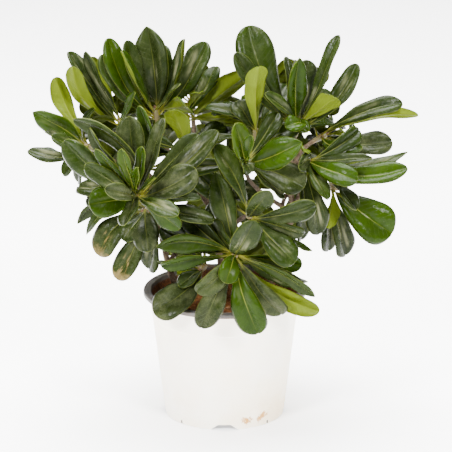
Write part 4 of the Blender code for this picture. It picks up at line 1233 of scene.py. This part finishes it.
OLD_GREEN = (0.0040, 0.0075, 0.0008)
BRIGHT_GREEN = (0.0102, 0.0235, 0.0005)
LIME_GREEN = (0.048, 0.076, 0.0016)
DEEP_MOTTLE = (0.0018, 0.0042, 0.0006)
LIGHT_PATCH = (0.0155, 0.0260, 0.0018)
# The undersides are paler, and brighter still as painted light shining through the leaf
OLD_UNDERSIDE_AND_GLOW = (0.0150, 0.0215, 0.0022)
YOUNG_UNDERSIDE_AND_GLOW = (0.076, 0.102, 0.0050)
UNDERSIDE_PATCH = (0.0350, 0.0470, 0.0036)
SIDE_VEIN = (0.036, 0.050, 0.006)
OLD_RIB = (0.050, 0.057, 0.012)
YOUNG_RIB = (0.128, 0.142, 0.018)
LEAF_RIM = (0.068, 0.084, 0.011)
STALK = (0.105, 0.100, 0.008)
LEAF_DUST = (0.066, 0.074, 0.030)
# The pale streaks are partly a waxy film and partly painted sheen
PALE_WAX_AND_SHEEN = (0.205, 0.205, 0.110)
SCALD = (0.175, 0.122, 0.044)
DARK_BARK, GREY_BARK = (0.040, 0.024, 0.013), (0.090, 0.062, 0.038)
BARK_CRACK, BARK_PORE = (0.016, 0.009, 0.005), (0.16, 0.13, 0.09)
DARK_SOIL, LIGHT_SOIL = (0.027, 0.0095, 0.0032), (0.098, 0.038, 0.011)
SOIL_GRIT, SOIL_FIBRE = (0.120, 0.053, 0.018), (0.19, 0.11, 0.055)
CREAM, DEEP_CREAM, TAN = (0.97, 0.915, 0.80), (0.96, 0.87, 0.70), (0.74, 0.53, 0.25)
POT_SPECK, WATER_MARK = (0.42, 0.26, 0.12), (0.46, 0.215, 0.030)
DARK_LINING_AND_SHADE, LIGHT_LINING_AND_SHADE = (0.062, 0.058, 0.056), (0.098, 0.090, 0.078)
LINING_DUST = (0.105, 0.060, 0.030)
DARK_EARTH, LIGHT_EARTH = (0.030, 0.0105, 0.0034), (0.170, 0.068, 0.022)
SIDE_VEIN_SPACING = 2.3


class Finish:
    """A material whose nodes are added one by one."""

    def __init__(self, name, roughness, **sockets):
        self.material = bpy.data.materials.new(name)
        self.material.use_nodes = True
        self.tree = self.material.node_tree
        self.shader = self.tree.nodes["Principled BSDF"]
        self.shader.inputs["Roughness"].default_value = roughness
        for socket, value in sockets.items():
            self.shader.inputs[socket.replace("_", " ")].default_value = value
        self.spot = self.add("ShaderNodeTexCoord").outputs["Object"]

    def add(self, kind, **settings):
        node = self.tree.nodes.new(kind)
        for name, value in settings.items():
            setattr(node, name, value)
        return node

    def join(self, source, target):
        """Sets an input to a value, or links it to an output."""
        if isinstance(source, bpy.types.NodeSocket):
            self.tree.links.new(source, target)
        else:
            target.default_value = source

    def maths(self, operation, *values):
        node = self.add("ShaderNodeMath", operation=operation)
        for value, target in zip(values, node.inputs):
            self.join(value, target)
        return node.outputs[0]

    def times(self, product, *factors):
        for factor in factors:
            product = self.maths("MULTIPLY", product, factor)
        return product

    def plus(self, total, *values):
        for value in values:
            total = self.maths("ADD", total, value)
        return total

    def blend(self, share, first, second):
        """A colour that is a share of the way from the first to the second."""
        node = self.add("ShaderNodeMix", data_type="RGBA")
        self.join(share, node.inputs[0])
        for value, target in ((first, node.inputs[6]), (second, node.inputs[7])):
            self.join((*value, 1.0) if isinstance(value, tuple) else value, target)
        return node.outputs[2]

    def noise(self, scale, detail=3.0, roughness=0.55, spot=None):
        node = self.add("ShaderNodeTexNoise")
        self.join(spot or self.spot, node.inputs["Vector"])
        node.inputs["Scale"].default_value = scale
        node.inputs["Detail"].default_value = detail
        node.inputs["Roughness"].default_value = roughness
        return node.outputs["Fac"]

    def between(self, value, low, high, to_low=0.0, to_high=1.0):
        """Value's share of the way from low to high, smoothed and held to that range."""
        node = self.add("ShaderNodeMapRange", interpolation_type="SMOOTHSTEP")
        for number, amount in enumerate((value, low, high, to_low, to_high)):
            self.join(amount, node.inputs[number])
        return node.outputs[0]

    def split(self, vector):
        """The x, y and z of a vector."""
        parts = self.add("ShaderNodeSeparateXYZ")
        self.join(vector, parts.inputs[0])
        return parts.outputs

    def attribute(self, name):
        """The red, green and blue parts of a colour attribute."""
        node = self.add("ShaderNodeAttribute", attribute_name=name)
        parts = self.add("ShaderNodeSeparateColor")
        self.join(node.outputs["Color"], parts.inputs[0])
        return parts.outputs[:3]

    def bump(self, height, depth, strength=1.0):
        node = self.add("ShaderNodeBump")
        node.inputs["Distance"].default_value = depth
        node.inputs["Strength"].default_value = strength
        self.join(height, node.inputs["Height"])
        self.join(node.outputs[0], self.shader.inputs["Normal"])

    def colour(self, value):
        self.join(value, self.shader.inputs["Base Color"])

    def roughness(self, value):
        self.join(value, self.shader.inputs["Roughness"])


def leaf_finish():
    """Thick, leathery leaves: glossy with painted sheen above, paler with a painted glow below,
    pale midrib and margin.
    """
    leaf = Finish("leaf", 0.3, Specular_IOR_Level=0.05)
    youth, dust, scars = leaf.attribute("growth")
    margin, along, under = leaf.attribute("place")
    sideways, length, _ = leaf.split(leaf.add("ShaderNodeUVMap", uv_map="surface").outputs[0])
    across = leaf.maths("ABSOLUTE", sideways)
    above = leaf.maths("SUBTRACT", 1.0, under)
    mottle = leaf.noise(90.0, 4.0)
    patches = leaf.noise(28.0, 2.0)

    # The green of the upper side, from old leaves to the youngest, and the paler underside, made
    # brighter still as painted light shining through the leaf
    greens = leaf.blend(leaf.between(youth, 0.0, 0.65), OLD_GREEN, BRIGHT_GREEN)
    greens = leaf.blend(leaf.between(youth, 0.6, 1.0), greens, LIME_GREEN)
    shade = leaf.blend(leaf.between(mottle, 0.35, 0.7, 0.0, 0.35), greens, DEEP_MOTTLE)
    shade = leaf.blend(leaf.between(patches, 0.45, 0.75, 0.0, 0.3), shade, LIGHT_PATCH)
    underside_and_glow = leaf.blend(leaf.between(youth, 0.0, 0.7), OLD_UNDERSIDE_AND_GLOW, YOUNG_UNDERSIDE_AND_GLOW)
    underside_and_glow = leaf.blend(leaf.between(patches, 0.4, 0.8, 0.0, 0.3), underside_and_glow, UNDERSIDE_PATCH)
    base = leaf.blend(under, shade, underside_and_glow)

    # Slanting side veins, the midrib, the margin and the stalk
    slant = leaf.maths("SUBTRACT", length, leaf.times(across, 0.75))
    slant = leaf.plus(slant, leaf.times(leaf.noise(160.0, 1.0), 1.6))
    lateral = leaf.between(leaf.maths("PINGPONG", slant, SIDE_VEIN_SPACING), 0.28, 0.0)
    lateral = leaf.times(lateral, leaf.between(margin, 0.05, 0.12), leaf.between(across, 0.6, 1.5))
    base = leaf.blend(leaf.times(lateral, 0.22), base, SIDE_VEIN)
    half_rib = leaf.maths("MULTIPLY_ADD", along, -0.42, 0.58)
    midrib = leaf.between(leaf.maths("SUBTRACT", across, half_rib), 0.14, -0.1)
    midrib = leaf.times(midrib, leaf.between(along, 1.0, 0.45, 0.10, 0.75))
    base = leaf.blend(midrib, base, leaf.blend(youth, OLD_RIB, YOUNG_RIB))
    base = leaf.blend(leaf.times(leaf.between(margin, 0.032, 0.012), 0.6), base, LEAF_RIM)
    base = leaf.blend(leaf.times(leaf.between(along, 0.24, 0.10), 0.85), base, STALK)

    # A film of fine dust
    specks = leaf.between(leaf.noise(1300.0, 2.0, 0.75), 0.46, 0.60, 0.45, 1.0)
    film = leaf.between(leaf.noise(95.0, 4.0, 0.7), 0.34, 0.72, 0.12, 1.0)
    powder = leaf.times(specks, film, dust, above)
    base = leaf.blend(leaf.times(powder, 0.55), base, LEAF_DUST)

    # Soft pale streaks in the trough beside the midrib: partly a waxy film, partly painted sheen
    # that stands for the reflection of the studio light
    half = leaf.maths("MAXIMUM", leaf.maths("MULTIPLY_ADD", margin, MARGIN_UNIT, across), 0.5)
    reach = leaf.maths("DIVIDE", across, half)
    trough = leaf.times(leaf.between(reach, 0.02, 0.22), leaf.between(reach, 0.75, 0.38))
    middle = leaf.times(leaf.between(along, 0.25, 0.5), leaf.between(along, 0.97, 0.8))
    drawn_out = leaf.add("ShaderNodeCombineXYZ")
    for number, part in enumerate(((sideways, 0.23), (length, 0.038), (patches, 2.2))):
        leaf.join(leaf.times(*part), drawn_out.inputs[number])
    drawn_out = drawn_out.outputs[0]
    streaks = leaf.between(leaf.noise(1.0, 2.5, 0.5, drawn_out), 0.44, 0.70)
    here_and_there = leaf.between(leaf.noise(24.0, 1.0), 0.45, 0.59)
    not_clean = leaf.between(dust, 0.05, 0.38, 0.08, 0.38)
    not_dusty = leaf.between(dust, 0.9, 0.45, 0.2, 1.0)
    wax_and_sheen = leaf.times(streaks, trough, middle, here_and_there, not_clean, not_dusty, above)
    base = leaf.blend(wax_and_sheen, base, PALE_WAX_AND_SHEEN)

    # Scald marks along the midrib and at the tip
    scald = leaf.between(leaf.noise(1.9, 3.0, 0.6, drawn_out), 0.50, 0.62)
    scald = leaf.times(scald, leaf.between(reach, 0.55, 0.2), leaf.between(along, 0.6, 0.75))
    tip_scald = leaf.between(leaf.maths("MULTIPLY_ADD", mottle, 0.35, along), 1.06, 1.16)
    marks = leaf.times(leaf.maths("MAXIMUM", scald, tip_scald), scars)
    leaf.colour(leaf.blend(leaf.times(marks, 0.56), base, SCALD))

    # Shine and relief
    dull = leaf.between(mottle, 0.3, 0.75, 0.14, 0.34)
    leaf.roughness(leaf.plus(dull, leaf.times(powder, 0.3), leaf.times(under, 0.15)))
    relief = leaf.plus(
        leaf.times(lateral, -0.5), leaf.times(leaf.noise(700.0, 2.0), 0.25),
        leaf.times(leaf.noise(230.0, 2.0), 1.2), leaf.times(leaf.noise(85.0, 1.0), 4.0),
    )
    leaf.bump(relief, 0.0004, 0.7)
    return leaf.material


def grained_finish(name, roughness, grain, low, colours, depth, **sockets):
    """A finish of two colours that are mixed, and raised, by one fine grain."""
    finish = Finish(name, roughness, **sockets)
    height = finish.noise(*grain)
    finish.colour(finish.blend(finish.between(height, low, 0.7), *colours))
    finish.bump(height, depth)
    return finish.material


def bark_finish():
    """Grey-brown young bark with fine cracks and pale pores."""
    bark = Finish("bark", 0.8, Specular_IOR_Level=0.15)
    stretched = bark.add("ShaderNodeMapping")
    bark.join(bark.spot, stretched.inputs["Vector"])
    stretched.inputs["Scale"].default_value = (1.0, 1.0, 0.35)
    cracks = bark.noise(900.0, 4.0, 0.7, stretched.outputs[0])
    pores = bark.between(bark.noise(500.0, 1.0), 0.62, 0.70)
    base = bark.blend(bark.between(bark.noise(120.0, 3.0), 0.3, 0.7), DARK_BARK, GREY_BARK)
    base = bark.blend(bark.between(cracks, 0.55, 0.35, 0.0, 0.7), base, BARK_CRACK)
    bark.colour(bark.blend(bark.times(pores, 0.5), base, BARK_PORE))
    bark.bump(bark.plus(cracks, pores), 0.0006)
    return bark.material


def potting_mix_finish():
    """Moist peat and coir: dark reddish brown with paler fibres."""
    soil = Finish("potting_mix", 0.95, Specular_IOR_Level=0.05)
    grit = soil.noise(700.0, 4.0, 0.7)
    clods = soil.noise(140.0, 3.0)
    fibres = soil.between(soil.noise(1400.0, 2.0), 0.64, 0.72)
    base = soil.blend(soil.between(clods, 0.35, 0.7), DARK_SOIL, LIGHT_SOIL)
    base = soil.blend(soil.between(grit, 0.4, 0.7, 0.0, 0.6), base, SOIL_GRIT)
    soil.colour(soil.blend(soil.times(fibres, 0.5), base, SOIL_FIBRE))
    soil.bump(soil.plus(grit, clods), 0.0012)
    return soil.material


# Where brown water marks show on the pot's foot: x, y, z, radius and strength
WATER_MARKS = (
    (0.0172, -0.0495, 0.0085, 0.0036, 0.75),
    (0.0193, -0.0490, 0.0072, 0.0030, 1.0),
    (0.0215, -0.0480, 0.0080, 0.0024, 0.95),
    (0.0318, -0.0425, 0.0090, 0.0034, 0.95),
    (0.0338, -0.0408, 0.0112, 0.0028, 0.9),
    (0.0300, -0.0437, 0.0068, 0.0030, 0.8),
    (0.0355, -0.0392, 0.0098, 0.0020, 0.7),
    (0.0258, -0.0462, 0.0335, 0.0009, 0.8),
)


def pot_plastic_finish():
    """Thin cream-white plastic, a little soiled and marked by water at the foot."""
    pot = Finish("pot_plastic", 0.4, Specular_IOR_Level=0.4)
    x, _, height = pot.split(pot.spot)
    base = pot.blend(pot.between(pot.noise(16.0, 3.0), 0.35, 0.7), CREAM, DEEP_CREAM)
    tan = pot.between(pot.noise(30.0, 4.0, 0.6), 0.35, 0.75, 0.0, 0.55)
    more_right = pot.maths("MULTIPLY_ADD", pot.between(x, -0.005, 0.05), 0.65, 0.35)
    base = pot.blend(pot.times(tan, pot.between(height, 0.07, 0.005), more_right), base, TAN)
    specks = pot.between(pot.noise(800.0, 2.0, 0.7), 0.66, 0.72)
    base = pot.blend(pot.times(specks, pot.between(height, 0.045, 0.0), 0.6), base, POT_SPECK)
    ragged = pot.maths("MULTIPLY_ADD", pot.noise(420.0, 5.0, 0.7), 0.011, -0.0045)
    for *middle, radius, strength in WATER_MARKS:
        away = pot.add("ShaderNodeVectorMath", operation="DISTANCE")
        pot.join(pot.spot, away.inputs[0])
        away.inputs[1].default_value = middle
        spread = pot.plus(away.outputs["Value"], ragged)
        mark = pot.between(spread, radius + 0.0012, radius - 0.0006, 0.0, strength)
        base = pot.blend(mark, base, WATER_MARK)
    pot.colour(base)
    pot.roughness(pot.between(pot.noise(60.0, 3.0), 0.3, 0.7, 0.34, 0.48))
    pot.bump(pot.plus(pot.noise(45.0, 2.0), pot.times(pot.noise(900.0, 2.0), 0.08)), 0.0006, 0.5)
    return pot.material


def pot_lining_finish():
    """The pot's grey inner layer, seen on the lip and inside, soiled by the mix; the same grey is
    put on the foot's underside, arches and slits as painted shade.
    """
    lining = Finish("pot_lining", 0.5, Specular_IOR_Level=0.25)
    clouds = lining.noise(40.0, 4.0, 0.6)
    base = lining.blend(lining.between(clouds, 0.35, 0.7), DARK_LINING_AND_SHADE, LIGHT_LINING_AND_SHADE)
    dust = lining.between(lining.noise(500.0, 3.0, 0.7), 0.56, 0.66, 0.0, 0.6)
    base = lining.blend(dust, base, LINING_DUST)
    level = lining.maths("MULTIPLY_ADD", clouds, 0.004, lining.split(lining.spot)[2])
    crumbs = lining.noise(700.0, 4.0, 0.7)
    earth = lining.blend(lining.between(crumbs, 0.35, 0.7), DARK_EARTH, LIGHT_EARTH)
    below_soil = lining.between(level, 0.1105, 0.1085)
    lining.colour(lining.blend(
        lining.times(below_soil, lining.between(level, 0.008, 0.014)), base, earth
    ))
    lining.bump(clouds, 0.0004, 0.4)
    return lining.material


def floor_finish():
    """Pale paper under the plant."""
    white = (1.0, 1.0, 1.0, 1.0)
    paper = Finish("floor_paper", 0.9, Emission_Color=white, Emission_Strength=0.95)
    fibre = paper.between(paper.noise(8.0, 3.0), 0.3, 0.7)
    paper.colour(paper.blend(fibre, (0.93, 0.93, 0.925), (0.95, 0.95, 0.945)))
    return paper.material


# The studio

WORLD_STRENGTH = 0.53

# Each softbox: its name, its place and aim in metres, its width and its power in watts
SOFTBOXES = (
    ("overhead_softbox", (-0.1, 0.35, 1.9), (0.0, 0.0, 0.1), 1.7, 355.0),
    ("left_softbox", (-1.2, -1.6, 1.4), (0.0, 0.0, 0.2), 0.5, 132.0),
    ("right_softbox", (1.0, -1.5, 1.5), (0.0, 0.0, 0.2), 0.5, 100.0),
)


def build_studio():
    """A pale floor, soft light all round, and the camera at the photograph's angle."""
    shape = bmesh.new()
    bmesh.ops.create_grid(shape, x_segments=8, y_segments=8, size=6000.0)
    floor = finished("studio_floor", shape)
    floor.data.materials.append(floor_finish())
    world = bpy.data.worlds.new("studio")
    world.use_nodes = True
    background = world.node_tree.nodes["Background"]
    background.inputs["Color"].default_value = (1.0, 1.0, 1.0, 1.0)
    background.inputs["Strength"].default_value = WORLD_STRENGTH
    bpy.context.scene.world = world
    for lamp in SOFTBOXES:
        softbox(*lamp)
    camera = linked("camera", bpy.data.cameras.new("camera"))
    target = Vector((VIEW_MIDDLE[0] - CAMERA_NUDGE, 0.0, 0.0))
    target += Vector((0.0, SIN_TILT, COS_TILT)) * VIEW_MIDDLE[1]
    target += TO_VIEWER * VIEW_PLANE
    camera.location = (target + TO_VIEWER * VIEW_DISTANCE) * MM
    camera.rotation_euler = TO_VIEWER.to_track_quat("Z", "Y").to_euler()
    camera.data.sensor_width = 36.0
    camera.data.lens = CAMERA_LENS
    camera.data.clip_start = 0.1
    camera.data.clip_end = 50.0
    bpy.context.scene.camera = camera


def softbox(name, spot, aim, size, power):
    """A square lamp that is turned to its aim."""
    light = linked(name, bpy.data.lights.new(name, "AREA"))
    light.data.shape = "SQUARE"
    light.data.size = size
    light.data.energy = power
    light.location = spot
    light.rotation_euler = (Vector(spot) - Vector(aim)).to_track_quat("Z", "Y").to_euler()


FINISHES = {
    "leaf": leaf_finish(),
    "green_wood": grained_finish(
        "green_wood", 0.5, (400.0, 3.0), 0.35,
        ((0.075, 0.070, 0.014), (0.105, 0.060, 0.020)), 0.0004,
    ),
    "bud_scale": grained_finish(
        "bud_scale", 0.55, (600.0, 3.0), 0.3,
        ((0.060, 0.018, 0.007), (0.135, 0.062, 0.018)), 0.0003,
    ),
    "bark": bark_finish(),
    "potting_mix": potting_mix_finish(),
    "bark_chip": grained_finish(
        "bark_chip", 0.85, (500.0, 4.0, 0.7), 0.3,
        ((0.035, 0.016, 0.008), (0.130, 0.070, 0.034)), 0.0008, Specular_IOR_Level=0.1,
    ),
    "pot_plastic": pot_plastic_finish(),
    "pot_lining": pot_lining_finish(),
}
build_studio()
build_pot()
build_soil()
for stem_name, stem_points in STEMS.items():
    build_stem(stem_name, stem_points)
placed_leaves = place_leaves(fill_obstacles())
for each_shoot in SHOOTS:
    build_foliage(each_shoot, placed_leaves[each_shoot.name])
